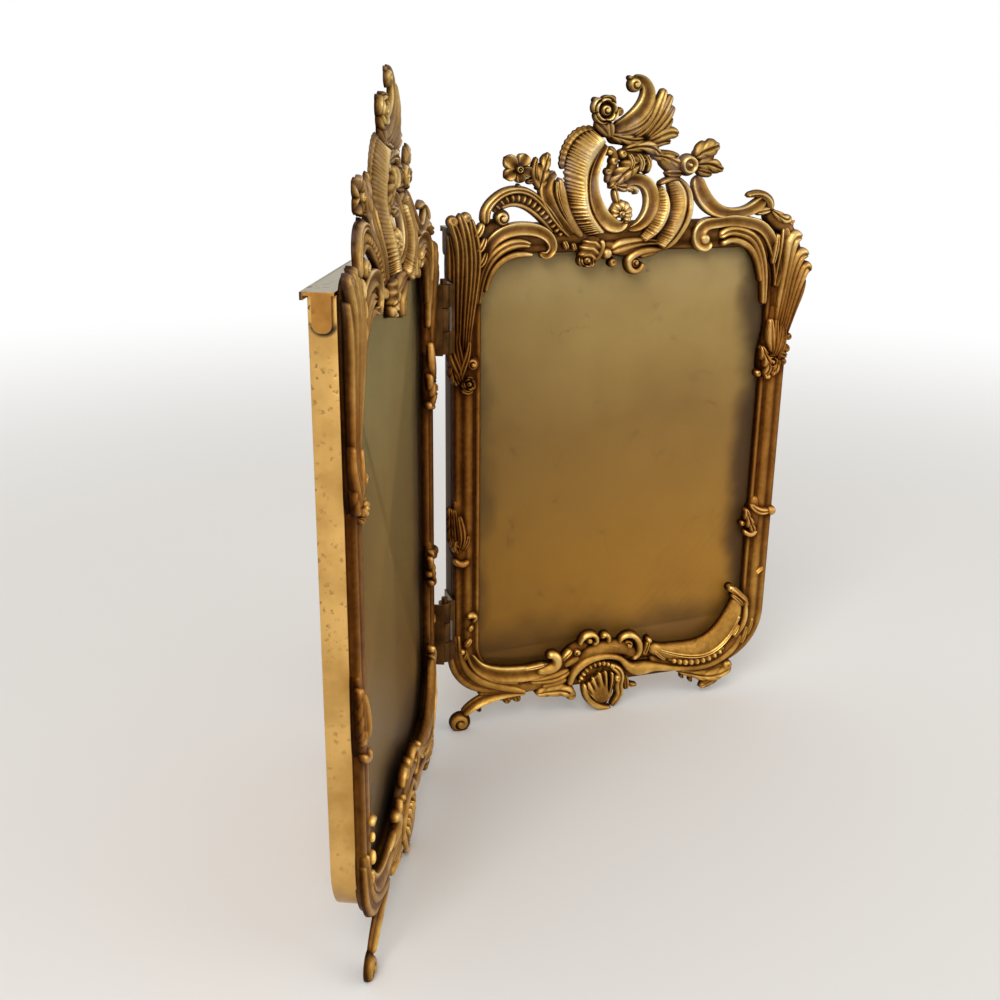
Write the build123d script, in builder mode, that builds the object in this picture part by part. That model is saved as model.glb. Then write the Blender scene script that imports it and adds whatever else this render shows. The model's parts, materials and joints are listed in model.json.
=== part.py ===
from build123d import *
import math
import os
from typing import NamedTuple

# Hinged double photo frame, cast gilt brass, two standing leaves
#
# Each leaf is a moulded rail round a glazed opening, with a carved crest, an apron with three
# feet and four knots on the side rails. A sheet-brass tray behind it holds the glass, the card
# and the board, and a sliding back with a folded cap closes it from above.
#
# Millimetres, +Z up. The floor is z = 0. The right leaf stands along +X and faces -Y, and the
# left leaf is folded towards the viewer about the upright hinge axis.
#
# A leaf is drawn in its own frame: x runs along the leaf with 0 on its centre line, y points
# away from the viewer with 0 on the back plane of the casting, and z is up.

# Opening and rail
opening_width = 106.0
opening_height = 152.0
opening_sill = 22.0
opening_corner_radius = 12.0
rail_width = 10.0
rail_relief = 4.4

# Carved work
carving_grid = 50.0
carving_relief = 4.2
carving_back = 0.6
knot_relief = 1.5
base_share = 1.25
crown_share = 0.62

# Tray and what it holds
sheet = 0.8
tray_depth = 7.4
tray_foot = 3.4
tray_corner_radius = 19.0
tray_lip = 4.0
glass_thickness = 1.8
card_thickness = 0.8
board_thickness = 2.5
stack_clearance = 0.4

# Sliding back
slide_clearance = 0.3
cap_front_gap = 0.4
cap_overhang = 1.6
cap_lip_drop = 1.8
ear_height = 9.0
ear_front = 1.2
ear_width = 5.0
ear_round = 2.0

# Hinges
leaf_angle = 112.9
axis_outset = 3.8
axis_depth = 4.5
hinge_height = 23.0
upper_hinge_drop = 41.5
lower_hinge_rise = 9.0
knuckle_count = 3
knuckle_radius = 2.1
knuckle_gap = 0.3
pin_radius = 1.1
pin_clearance = 0.08
pin_tip = 1.6
plate_thickness = 0.9
plate_reach = 6.2
plate_front = 0.3
hinge_side_limit = 2.2
hinge_room = 0.5
closed_angle = 22.0

# Where the frame stands in its own space
axis_x = -37.75
axis_y = 54.34

overrun = 20.0

# Sizes that follow
half_opening = opening_width / 2
half_leaf = half_opening + rail_width
opening_top = opening_sill + opening_height
rail_top = opening_top + rail_width
rail_foot = opening_sill - rail_width
rail_middle = half_opening + rail_width / 2
tray_floor = rail_foot + tray_foot
tray_top = rail_top + sheet
half_tray = half_leaf - sheet
board_back = glass_thickness + card_thickness + board_thickness
lip_front = tray_depth - sheet
back_front = (board_back + lip_front - sheet) / 2
axis_reach = half_leaf + axis_outset
upper_hinge_foot = rail_top - upper_hinge_drop
lower_hinge_foot = opening_sill + lower_hinge_rise


def front(depth):
    """Plane parallel to the leaf, that far in front of the casting's back plane."""
    return Plane(origin=(0, -depth, 0), x_dir=(1, 0, 0), z_dir=(0, -1, 0))


class Band(NamedTuple):
    """One carved band: its middle line, its half widths along it and how proud it stands."""

    line_shares: list
    half_width_shares: list
    relief_share: float


class Boss(NamedTuple):
    """One carved bead: its centre, its radius and how proud it stands."""

    centre_shares: tuple
    radius_share: float
    relief_share: float


def band_side(line, half_widths, side):
    """Points of one side of a band, square to its middle line at each point."""
    points = []
    last = len(line) - 1
    for index, (here, half_width) in enumerate(zip(line, half_widths)):
        before = line[max(index - 1, 0)]
        after = line[min(index + 1, last)]
        run = math.dist(before, after)
        across = ((before[1] - after[1]) / run, (after[0] - before[0]) / run)
        points.append((here[0] + side * half_width * across[0], here[1] + side * half_width * across[1]))
    return points


def carve_band(band, place, unit, low, high):
    """Loft one band from its full width at the back to its narrow crown at the front."""
    line = [place(point) for point in band.line_shares]
    outlines = []
    for depth, width_share in ((low, base_share), (high, crown_share)):
        half_widths = [share * unit * width_share for share in band.half_width_shares]
        left = band_side(line, half_widths, 1)
        right = band_side(line, half_widths, -1)
        with BuildSketch(front(depth)) as outline:
            with BuildLine():
                Spline(*left)
                Line(left[-1], right[-1])
                Spline(*right)
                Line(right[0], left[0])
            make_face()
        outlines.append(outline.sketch.face())
    return loft(outlines, mode=Mode.PRIVATE)


def carve_boss(boss, place, unit, low, high):
    """Loft one bead from its full round at the back to its narrow crown at the front."""
    outlines = []
    for depth, width_share in ((low, base_share), (high, crown_share)):
        with BuildSketch(front(depth)) as outline:
            with Locations(place(boss.centre_shares)):
                Circle(boss.radius_share * unit * width_share)
        outlines.append(outline.sketch.face())
    return loft(outlines, mode=Mode.PRIVATE)


def carve(shapes, place, unit, relief):
    """Carve each shape of a list, from the back of the carving to its own crown."""
    carved = []
    for shape in shapes:
        crown = rail_relief + relief * shape.relief_share
        if isinstance(shape, Band):
            carved.append(carve_band(shape, place, unit, carving_back, crown))
        else:
            carved.append(carve_boss(shape, place, unit, carving_back, crown))
    add(carved, clean=False)


def clear_rail():
    """Cut the room that the rail fills out of the carving that lies over it."""
    with BuildSketch(front(-overrun)) as room:
        with Locations((0, (rail_foot + rail_top) / 2)):
            RectangleRounded(2 * half_leaf, rail_top - rail_foot, opening_corner_radius + rail_width)
    extrude(room.sketch.face(), amount=overrun + rail_relief, mode=Mode.SUBTRACT)


# Rail: a moulding carried round the opening, highest along its middle
rail_profile_shares = [
    (0, 0), (0, 0.42), (0.09, 0.62), (0.2, 0.45), (0.3, 0.8), (0.5, 1),
    (0.66, 0.82), (0.76, 0.5), (0.88, 0.72), (1, 0.45), (1, 0),
]

with BuildPart() as rail_frame:
    with BuildLine(front(0)) as opening_line:
        FilletPolyline(
            (half_opening, opening_sill),
            (-half_opening, opening_sill),
            (-half_opening, opening_top),
            (half_opening, opening_top),
            radius=opening_corner_radius,
            close=True,
        )
    start = opening_line.wire() @ 0
    heading = opening_line.wire() % 0
    outward = Vector(0, -1, 0).cross(heading)
    with BuildSketch(Plane(origin=start, x_dir=outward, z_dir=heading)):
        with BuildLine():
            Polyline(*[(x * rail_width, y * rail_relief) for x, y in rail_profile_shares], close=True)
        make_face()
    sweep(path=opening_line.wire())


# Crest, laid out on a square grid that stands on the top rail
def crest_place(share):
    return (share[0] * carving_grid, rail_top + share[1] * carving_grid)


crest_shares = [
    # great ribbed shell and the plain scroll inside it
    Band([(-0.22, 0.54), (-0.35, 0.49), (-0.41, 0.34), (-0.41, 0.16), (-0.35, 0), (-0.28, -0.12)],
         [0.04, 0.08, 0.1, 0.1, 0.08, 0.05], 1),
    Band([(-0.19, 0.47), (-0.26, 0.34), (-0.274, 0.18), (-0.23, 0.05), (-0.13, -0.02),
          (-0.06, 0.03), (-0.056, 0.1)],
         [0.02, 0.034, 0.04, 0.04, 0.04, 0.038, 0.024], 0.6),
    # finial hook, its bulb and the rose beside it
    Band([(-0.16, 0.59), (0, 0.63), (0.086, 0.72), (0.088, 0.83), (0.02, 0.894)],
         [0.024, 0.036, 0.04, 0.038, 0.034], 0.6),
    Boss((-0.01, 0.876), 0.05, 0.8),
    Boss((-0.205, 0.715), 0.084, 0.7),
    Band([(-0.21, 0.66), (-0.19, 0.53)], [0.04, 0.048], 0.5),
    # acanthus spray and the neck below it
    Band([(0.02, 0.54), (0.13, 0.66), (0.216, 0.85)], [0.03, 0.056, 0.022], 0.7),
    Band([(0.06, 0.52), (0.19, 0.62), (0.276, 0.75)], [0.024, 0.05, 0.02], 0.6),
    Band([(0.06, 0.51), (0.2, 0.556), (0.326, 0.56)], [0.024, 0.046, 0.02], 0.5),
    Band([(-0.18, 0.54), (0, 0.52), (0.12, 0.49), (0.18, 0.43)], [0.032, 0.04, 0.038, 0.02], 0.5),
    # leaves in the heart of the crest
    Band([(-0.1, 0.46), (0.03, 0.39), (0.06, 0.28), (-0.02, 0.2)], [0.044, 0.084, 0.08, 0.04], 1),
    Band([(-0.16, 0.42), (-0.16, 0.28), (-0.11, 0.19), (-0.09, 0.1)], [0.036, 0.044, 0.04, 0.032], 0.7),
    # three nested crescents
    Band([(-0.08, 0.22), (0.06, 0.24), (0.144, 0.15), (0.144, 0.04), (0.08, -0.034), (0.004, -0.06)],
         [0.024, 0.04, 0.042, 0.04, 0.03, 0.014], 0.6),
    Band([(0.19, 0.24), (0.262, 0.14), (0.262, 0.02), (0.19, -0.08), (0.09, -0.13)],
         [0.024, 0.05, 0.054, 0.046, 0.018], 0.8),
    Band([(0.29, 0.29), (0.372, 0.2), (0.404, 0.06), (0.364, -0.08), (0.264, -0.186)],
         [0.032, 0.056, 0.068, 0.056, 0.02], 0.8),
    # rosette, its leaves and the long scroll to the right
    Band([(0.12, 0.4), (0.26, 0.37), (0.38, 0.35)], [0.02, 0.06, 0.052], 0.5),
    Boss((0.416, 0.356), 0.074, 0.8),
    Band([(0.46, 0.36), (0.56, 0.44), (0.64, 0.5)], [0.036, 0.056, 0.02], 0.5),
    Band([(0.44, 0.35), (0.59, 0.346), (0.694, 0.316)], [0.04, 0.052, 0.016], 0.4),
    Band([(0.47, 0.31), (0.51, 0.19), (0.6, 0.076), (0.76, 0.016), (0.9, 0.04), (0.96, 0.09)],
         [0.04, 0.048, 0.048, 0.04, 0.034, 0.03], 0.7),
    Band([(0.9, 0.13), (1, 0.12), (1.07, 0.05), (1.11, -0.03)], [0.024, 0.044, 0.042, 0.03], 0.5),
    # ribbed arch, flower and leaves to the left
    Band([(-1.046, 0.01), (-1.02, 0.15), (-0.91, 0.224), (-0.77, 0.194), (-0.63, 0.092),
          (-0.52, -0.02), (-0.41, -0.17)],
         [0.034, 0.036, 0.038, 0.054, 0.056, 0.048, 0.026], 0.7),
    Boss((-0.96, 0.05), 0.054, 0.7),
    Boss((-0.806, 0.344), 0.084, 0.6),
    Band([(-0.67, 0.16), (-0.65, 0.32), (-0.606, 0.436)], [0.036, 0.056, 0.016], 0.5),
    Band([(-0.546, 0.29), (-0.59, 0.18), (-0.52, 0.05), (-0.4, -0.08)], [0.028, 0.056, 0.048, 0.032], 0.7),
    # knot and volutes that hang over the opening
    Band([(-0.25, -0.08), (-0.296, -0.17), (-0.33, -0.27)], [0.052, 0.07, 0.052], 1),
    Band([(-0.15, -0.2), (0, -0.164), (0.16, -0.18), (0.28, -0.196)], [0.028, 0.044, 0.034, 0.02], 0.7),
    Boss((0.06, -0.235), 0.05, 0.6),
    # shoulders along the top rail
    Band([(-1.08, -0.24), (-0.99, -0.12), (-0.86, -0.08), (-0.72, -0.076), (-0.62, -0.12),
          (-0.63, -0.168)],
         [0.028, 0.05, 0.056, 0.05, 0.038, 0.026], 0.4),
    Band([(1.09, -0.24), (1.01, -0.13), (0.86, -0.08), (0.72, -0.086), (0.6, -0.13)],
         [0.028, 0.048, 0.052, 0.048, 0.052], 0.4),
    Boss((0.56, -0.176), 0.074, 0.9),
]


# Corner leaves, counted in rail widths from the upper corners of the leaf
def left_corner_place(share):
    return (-half_leaf + share[0] * rail_width, rail_top + share[1] * rail_width)


def right_corner_place(share):
    return (half_leaf + share[0] * rail_width, rail_top + share[1] * rail_width)


left_corner_shares = [
    Band([(0.27, -1.6), (0, -0.6), (-0.14, 0.25)], [0.15, 0.23, 0.09], 0.5),
    Band([(0.62, -1.6), (0.47, -0.7), (0.44, 0.2)], [0.16, 0.29, 0.16], 0.6),
    Band([(0.82, -1.4), (0.89, -0.7), (1.02, -0.05)], [0.14, 0.24, 0.14], 0.5),
]
right_corner_shares = [
    Band([(-0.42, -3.2), (-0.3, -1.8), (-0.27, -0.7), (-0.17, -0.05)], [0.13, 0.18, 0.22, 0.11], 0.6),
    Band([(-0.07, -3.4), (-0.04, -1.9), (0.08, -1.1), (0.4, -0.7)], [0.12, 0.17, 0.18, 0.11], 0.5),
    Band([(0.13, -3.6), (0.18, -2.4), (0.48, -1.5), (0.84, -1.7)], [0.08, 0.16, 0.2, 0.11], 0.6),
]

with BuildPart() as crest:
    carve(crest_shares, crest_place, carving_grid, carving_relief)
    carve(left_corner_shares, left_corner_place, rail_width, carving_relief)
    carve(right_corner_shares, right_corner_place, rail_width, carving_relief)
    clear_rail()


# Apron and feet, with heights counted in the height of the opening's sill
def apron_place(share):
    return (share[0] * carving_grid, share[1] * opening_sill)


apron_shares = [
    # scrolled rail to the left and the carved cresting of the sill
    Band([(-0.72, 0.886), (-0.56, 0.855), (-0.42, 0.93)], [0.02, 0.04, 0.044], 0.4),
    Boss((-0.406, 1.045), 0.052, 0.8),
    Band([(-0.3, 1.11), (-0.16, 1.23), (0, 1.16), (0.16, 1.09), (0.28, 0.955)],
         [0.032, 0.052, 0.056, 0.052, 0.028], 0.6),
    Boss((-0.14, 1.36), 0.042, 0.6),
    Boss((0.17, 1.23), 0.064, 0.9),
    # arch over the shell, running out into the right foot
    Band([(-0.27, 0.66), (-0.23, 0.864), (-0.08, 0.986), (0.1, 0.91), (0.24, 0.73), (0.46, 0.62),
          (0.72, 0.536)],
         [0.03, 0.032, 0.032, 0.03, 0.036, 0.038, 0.026], 0.7),
    # shell that ends in the middle foot
    Band([(-0.07, 0.86), (-0.06, 0.5), (0.01, 0.23), (0.06, -0.09)], [0.1, 0.11, 0.072, 0.05], 1),
    Band([(0.17, 0.76), (0.15, 0.41), (0.18, 0.2)], [0.04, 0.044, 0.02], 0.6),
    # left foot: a long scroll that curls under
    Band([(-0.54, 0.58), (-0.8, 0.56), (-1, 0.455), (-1.15, 0.32)], [0.036, 0.036, 0.03, 0.026], 0.5),
    Boss((-1.14, 0.15), 0.08, 0.8),
    Band([(-0.64, 0.54), (-0.42, 0.46), (-0.22, 0.27)], [0.036, 0.056, 0.024], 0.5),
    # right foot: a leaf that turns down to the floor
    Band([(0.6, 0.57), (0.84, 0.36), (1, 0.386), (1.1, 0.42)], [0.03, 0.06, 0.064, 0.024], 0.5),
    Band([(0.94, 0.3), (0.84, -0.045)], [0.052, 0.04], 0.5),
    # ribbed scroll round the lower right corner
    Band([(0.34, 1.11), (0.44, 0.9), (0.62, 0.77), (0.82, 0.77), (1, 0.955), (1.11, 1.32),
          (1.11, 1.68), (1.06, 1.93)],
         [0.036, 0.048, 0.056, 0.064, 0.066, 0.056, 0.048, 0.026], 0.4),
    Boss((0.33, 1.15), 0.044, 0.7),
]

with BuildPart() as apron:
    carve(apron_shares, apron_place, carving_grid, carving_relief)
    clear_rail()
    with BuildSketch(Plane.XY) as floor_room:
        Rectangle(2 * axis_reach, 2 * overrun)
    extrude(floor_room.sketch.face(), amount=-overrun, mode=Mode.SUBTRACT)

# Knots on the side rails: side, height up the opening, and bands counted in rail widths
upper_left_knot_shares = [
    Band([(-0.53, 0.7), (-0.08, 0.1), (0.37, -0.4)], [0.16, 0.26, 0.14], 0.8),
    Band([(0.42, 0.6), (0.07, -0.1), (-0.18, -0.7)], [0.14, 0.24, 0.14], 1),
    Boss((-0.6, 0.25), 0.15, 0.5),
]
lower_left_knot_shares = [
    Band([(-0.57, 1.1), (-0.38, 0.2), (0.32, -0.4)], [0.12, 0.26, 0.14], 0.7),
    Band([(0.37, 0.5), (0.02, -0.2), (-0.03, -0.8)], [0.12, 0.24, 0.3], 1),
]
upper_right_knot_shares = [
    Band([(0.23, 1.1), (-0.02, 0.3), (-0.22, -0.6)], [0.12, 0.28, 0.2], 1),
    Band([(0.73, 0.55), (0.28, 0), (-0.37, -0.4)], [0.16, 0.28, 0.14], 0.8),
    Boss((0.71, -0.1), 0.18, 0.5),
]
lower_right_knot_shares = [
    Band([(0.48, 0.7), (0.18, 0.1), (-0.22, -0.8)], [0.12, 0.26, 0.24], 1),
    Band([(0.76, 0.1), (0.18, -0.1), (-0.42, 0.3)], [0.2, 0.24, 0.12], 0.8),
]
thorn_shares = [Band([(0.36, -0.4), (0.44, 0), (0.66, 0.35)], [0.14, 0.14, 0.08], 0.2)]
knot_height_shares = [0.743, 0.342, 0.737, 0.329, 0.16]
knot_sides = [-1, -1, 1, 1, 1]
knot_shapes = [
    upper_left_knot_shares,
    lower_left_knot_shares,
    upper_right_knot_shares,
    lower_right_knot_shares,
    thorn_shares,
]


def knot_place(side, height_share):
    """Place for one knot's points, about the middle line of its rail."""
    middle = (side * rail_middle, opening_sill + height_share * opening_height)
    return lambda share: (middle[0] + share[0] * rail_width, middle[1] + share[1] * rail_width)


with BuildPart() as side_knots:
    for shapes, side, height_share in zip(knot_shapes, knot_sides, knot_height_shares):
        carve(shapes, knot_place(side, height_share), rail_width, knot_relief)
    clear_rail()


# Tray: a sheet-brass channel, open above, with a lip folded in behind
def channel_face(depth, half_width, foot, top, corner):
    """Face of that half width from foot to top, its lower corners rounded, parallel to the leaf."""
    with BuildSketch(front(depth)) as outline:
        with BuildLine():
            FilletPolyline((-half_width, top), (-half_width, foot), (half_width, foot), (half_width, top),
                           radius=corner)
            Line((half_width, top), (-half_width, top))
        make_face()
    return outline.sketch.face()


def tray_face(depth, inset, top):
    """Outline of the tray drawn in from its outside by the inset."""
    return channel_face(depth, half_leaf - inset, tray_floor + inset, top, tray_corner_radius - inset)


with BuildPart() as tray:
    extrude(tray_face(0, 0, tray_top), amount=-tray_depth)
    extrude(tray_face(0, sheet, tray_top + overrun), amount=-lip_front, mode=Mode.SUBTRACT)
    extrude(tray_face(0, tray_lip, tray_top + overrun), amount=-overrun, mode=Mode.SUBTRACT)


def stacked_plate(back, thickness, side_gap, foot_gap, top):
    """One flat plate of the stack, cut to the tray, standing that far off its floor."""
    foot = tray_floor + sheet + foot_gap
    corner = tray_corner_radius - sheet - side_gap
    extrude(channel_face(-back, half_tray - side_gap, foot, top, corner), amount=-thickness)


with BuildPart() as glass:
    stacked_plate(0, glass_thickness, stack_clearance, 0, rail_top)

with BuildPart() as card_insert:
    stacked_plate(glass_thickness, card_thickness, stack_clearance, 0, rail_top)

with BuildPart() as backing_board:
    stacked_plate(glass_thickness + card_thickness, board_thickness, stack_clearance, 0, rail_top)


# Sliding back: a panel that drops into the tray, under a cap with two ears folded down outside
def side_plane(x):
    """Upright plane square to the leaf, that far along it."""
    return Plane(origin=(x, 0, 0), x_dir=(0, 1, 0), z_dir=(1, 0, 0))


half_cap = half_leaf + slide_clearance + sheet
cap_back = tray_depth + cap_overhang
cap_top = tray_top + sheet

with BuildPart() as sliding_back:
    stacked_plate(back_front, sheet, slide_clearance, slide_clearance, tray_top)
    with BuildSketch(side_plane(-half_cap)):
        with BuildLine():
            Polyline(
                (cap_front_gap, tray_top),
                (cap_front_gap, cap_top),
                (cap_back, cap_top),
                (cap_back, cap_top - cap_lip_drop),
                (cap_back - sheet, cap_top - cap_lip_drop),
                (cap_back - sheet, tray_top),
                close=True,
            )
        make_face()
    extrude(amount=2 * half_cap)
    for ear_x in (-half_cap, half_cap - sheet):
        with BuildSketch(side_plane(ear_x)):
            with BuildLine():
                FilletPolyline(
                    (ear_front, tray_top),
                    (ear_front, cap_top - ear_height),
                    (ear_front + ear_width, cap_top - ear_height),
                    (ear_front + ear_width, tray_top),
                    radius=ear_round,
                )
                Line((ear_front + ear_width, tray_top), (ear_front, tray_top))
            make_face()
        extrude(amount=sheet)


# Hinges: plates on the sides of the trays, with knuckles that alternate about one pin
def hinge_plate(side, foot, first_knuckle):
    """Fill the part in hand with one plate and every second knuckle from the first."""
    pitch = hinge_height / knuckle_count
    plate_face = half_leaf + plate_thickness
    plate_depth = axis_depth + plate_front + plate_reach
    side_align = Align.MIN if side > 0 else Align.MAX
    with Locations((side * half_leaf, plate_reach, foot)):
        Box(plate_thickness, plate_depth, hinge_height, align=(side_align, Align.MAX, Align.MIN))
    for index in range(first_knuckle, knuckle_count, 2):
        low = foot + index * pitch + knuckle_gap / 2
        with Locations((side * axis_reach, -axis_depth, low)):
            Cylinder(knuckle_radius, pitch - knuckle_gap, align=(Align.CENTER, Align.CENTER, Align.MIN))
        with Locations((side * plate_face, -axis_depth, low)):
            Box(
                axis_reach - plate_face,
                plate_thickness,
                pitch - knuckle_gap,
                align=(side_align, Align.CENTER, Align.MIN),
            )
        with Locations((side * axis_reach, -axis_depth, low)):
            Cylinder(
                pin_radius + pin_clearance,
                pitch - knuckle_gap,
                align=(Align.CENTER, Align.CENTER, Align.MIN),
                mode=Mode.SUBTRACT,
            )


def hinge_room_cuts(side):
    """Trim the carving beside the hinges, to let them in and to let the leaves close."""
    limit = half_leaf + hinge_side_limit
    side_align = Align.MIN if side > 0 else Align.MAX
    with Locations((side * limit, 0, 0)):
        Box(overrun, 2 * overrun, 2 * rail_top, align=(side_align, Align.CENTER, Align.CENTER), mode=Mode.SUBTRACT)
    for foot in (upper_hinge_foot, lower_hinge_foot):
        with Locations((side * half_leaf, 0, foot - hinge_room)):
            Box(
                overrun,
                2 * overrun,
                hinge_height + 2 * hinge_room,
                align=(side_align, Align.CENTER, Align.MIN),
                mode=Mode.SUBTRACT,
            )
    with Locations(Location((side * axis_reach, -axis_depth, 0), (0, 0, side * closed_angle / 2))):
        Box(
            4 * overrun,
            2 * overrun,
            2 * rail_top,
            align=(Align.CENTER, Align.MAX, Align.MIN),
            mode=Mode.SUBTRACT,
        )


# Both leaves, each with its own seat in the frame's space and its hinge on its own side
class Leaf(NamedTuple):
    """One standing leaf: its seat and the side that its hinge is on, -1 left or 1 right."""

    seat: Plane
    hinge_side: int
    first_knuckle: int


turn = math.radians(leaf_angle)
left_along = (-math.cos(turn), math.sin(turn))
left_behind = (-math.sin(turn), -math.cos(turn))
leaves = {
    "right": Leaf(
        Plane(
            origin=(axis_x + axis_reach, axis_y + axis_depth, 0),
            x_dir=(1, 0, 0),
            z_dir=(0, 0, 1),
        ),
        -1,
        0,
    ),
    "left": Leaf(
        Plane(
            origin=(
                axis_x - axis_reach * left_along[0] + axis_depth * left_behind[0],
                axis_y - axis_reach * left_along[1] + axis_depth * left_behind[1],
                0,
            ),
            x_dir=(left_along[0], left_along[1], 0),
            z_dir=(0, 0, 1),
        ),
        1,
        1,
    ),
}
plain_pieces = {
    "rail_frame": rail_frame,
    "tray": tray,
    "glass": glass,
    "card_insert": card_insert,
    "backing_board": backing_board,
    "sliding_back": sliding_back,
}
carved_pieces = {"crest": crest, "apron": apron, "side_knots": side_knots}
hinge_feet = {"upper": upper_hinge_foot, "lower": lower_hinge_foot}

os.makedirs("parts", exist_ok=True)
for leaf_name, leaf in leaves.items():
    for piece_name, master in plain_pieces.items():
        with BuildPart(leaf.seat) as piece:
            add(master.part)
        piece.part.label = f"{leaf_name}_{piece_name}"
        export_step(piece.part, f"parts/{piece.part.label}.step")
    for piece_name, master in carved_pieces.items():
        with BuildPart(leaf.seat) as piece:
            add(master.part, clean=False)
            hinge_room_cuts(leaf.hinge_side)
        piece.part.label = f"{leaf_name}_{piece_name}"
        export_step(piece.part, f"parts/{piece.part.label}.step")
    for hinge_name, foot in hinge_feet.items():
        with BuildPart(leaf.seat) as piece:
            hinge_plate(leaf.hinge_side, foot, leaf.first_knuckle)
        piece.part.label = f"{hinge_name}_hinge_{leaf_name}_plate"
        export_step(piece.part, f"parts/{piece.part.label}.step")

for hinge_name, foot in hinge_feet.items():
    with BuildPart(Plane(origin=(axis_x, axis_y, foot))) as pin:
        Cylinder(pin_radius, hinge_height + pin_tip, align=(Align.CENTER, Align.CENTER, Align.MIN))
    pin.part.label = f"{hinge_name}_hinge_pin"
    export_step(pin.part, f"parts/{pin.part.label}.step")
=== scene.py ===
"""Looks of a hinged double photo frame of cast gilt brass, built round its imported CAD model.

Inside the classes a leaf is drawn in its own frame, in millimetres: x runs along the leaf with 0
on its centre line, z is up from the floor, and d comes towards the viewer from the back plane of
the casting. LeafSeat turns that frame into metres in the space of the CAD model.
"""

import json
import logging
import math
from dataclasses import dataclass
from enum import Enum

import bmesh
import bpy
import numpy as np
from bpy.types import Material, Node, NodeSocket, NodeTree
from mathutils import Euler, Matrix

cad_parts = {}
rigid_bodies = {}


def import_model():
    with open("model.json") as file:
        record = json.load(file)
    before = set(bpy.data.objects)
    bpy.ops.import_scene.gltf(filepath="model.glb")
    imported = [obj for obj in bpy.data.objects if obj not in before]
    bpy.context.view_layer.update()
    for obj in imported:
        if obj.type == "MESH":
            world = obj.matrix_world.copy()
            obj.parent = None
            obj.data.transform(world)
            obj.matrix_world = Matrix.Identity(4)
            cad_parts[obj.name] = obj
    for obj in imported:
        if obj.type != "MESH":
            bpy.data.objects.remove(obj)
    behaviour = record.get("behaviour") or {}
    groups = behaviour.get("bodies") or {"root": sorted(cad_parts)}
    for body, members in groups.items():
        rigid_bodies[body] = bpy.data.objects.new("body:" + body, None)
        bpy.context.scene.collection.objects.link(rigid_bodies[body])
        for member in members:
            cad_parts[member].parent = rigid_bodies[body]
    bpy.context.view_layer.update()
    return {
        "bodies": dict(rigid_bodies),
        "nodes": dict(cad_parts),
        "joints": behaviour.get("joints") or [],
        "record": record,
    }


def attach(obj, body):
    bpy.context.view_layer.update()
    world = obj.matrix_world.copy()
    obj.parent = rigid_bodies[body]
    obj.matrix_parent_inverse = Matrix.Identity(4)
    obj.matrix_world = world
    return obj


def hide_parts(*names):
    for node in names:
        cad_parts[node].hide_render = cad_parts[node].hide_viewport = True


LOG = logging.getLogger("photo_frame")
MM = 0.001
# Depths of the casting, in leaf millimetres
CAST_BACK = 0.6
CAST_FRONT = 8.55
CREST_BACK = -1.0
SET_BACK = 1.4
# What share of the carved height is left, and how much less on the cresting, which also leans
# back by so many millimetres from the first height to the second
RELIEF = 0.7
CREST_FLATTER = 0.08
CREST_LEAN = 1.9
LEAN_HEIGHTS = (184.0, 200.0)
# The photograph's eye in the right leaf's own frame
EYE = (-167.7, 222.9, 378.0)
# How far the stack's upper end is lowered, and what share of its depth is left
STACK_DROP = 3.0
STACK_SHARE = 0.9
# Each card's tones from foot to head. The left card's are darker: painted shade, as the left leaf is turned
# from the key lamp.
CARD_TONES = {
    "right": ((0.0, "d68d28"), (0.25, "da9432"), (0.6, "c18c46"), (0.85, "d8ab68"), (1.0, "f0c68c")),
    "left": ((0.0, "8a5f22"), (0.25, "93682c"), (0.6, "98763f"), (0.85, "a18653"), (1.0, "aa9264")),
}


def smooth_path(rows: np.ndarray, count: int) -> np.ndarray:
    """Carry a smooth line through rows of control values.

    Formula: the natural cubic spline over the chord lengths of the first two columns. Its second
    derivatives solve one banded system, and each sample is the cubic of its own span.

    Args:
        rows: One row for each control point, with x and z in the first two columns.
        count: How many samples to give back, evenly spaced in chord length.

    Returns:
        The samples, one row each, with the same columns.
    """
    chord = np.hypot(*np.diff(rows[:, :2], axis=0).T)
    knots = np.concatenate([[0.0], np.cumsum(chord)])
    last = len(rows) - 1
    system = np.eye(last + 1)
    right = np.zeros_like(rows)
    inner = np.arange(1, last)
    system[inner, inner - 1] = chord[:-1]
    system[inner, inner] = 2 * (chord[:-1] + chord[1:])
    system[inner, inner + 1] = chord[1:]
    slopes = np.diff(rows, axis=0) / chord[:, None]
    right[1:-1] = 6 * np.diff(slopes, axis=0)
    bend = np.linalg.solve(system, right)
    at = np.linspace(0.0, knots[-1], count)
    span = np.clip(np.searchsorted(knots, at, side="right") - 1, 0, last - 1)
    width = chord[span][:, None]
    after = (at - knots[span])[:, None]
    before = width - after
    cubic = (bend[span] * before**3 + bend[span + 1] * after**3) / (6 * width)
    low = (rows[span] / width - bend[span] * width / 6) * before
    high = (rows[span + 1] / width - bend[span + 1] * width / 6) * after
    return cubic + low + high


def smooth_step(low: float, high: float, value: np.ndarray) -> np.ndarray:
    """Rise from 0 to 1 between low and high, as 3t² - 2t³."""
    t = np.clip((value - low) / (high - low), 0.0, 1.0)
    return t * t * (3 - 2 * t)


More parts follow.
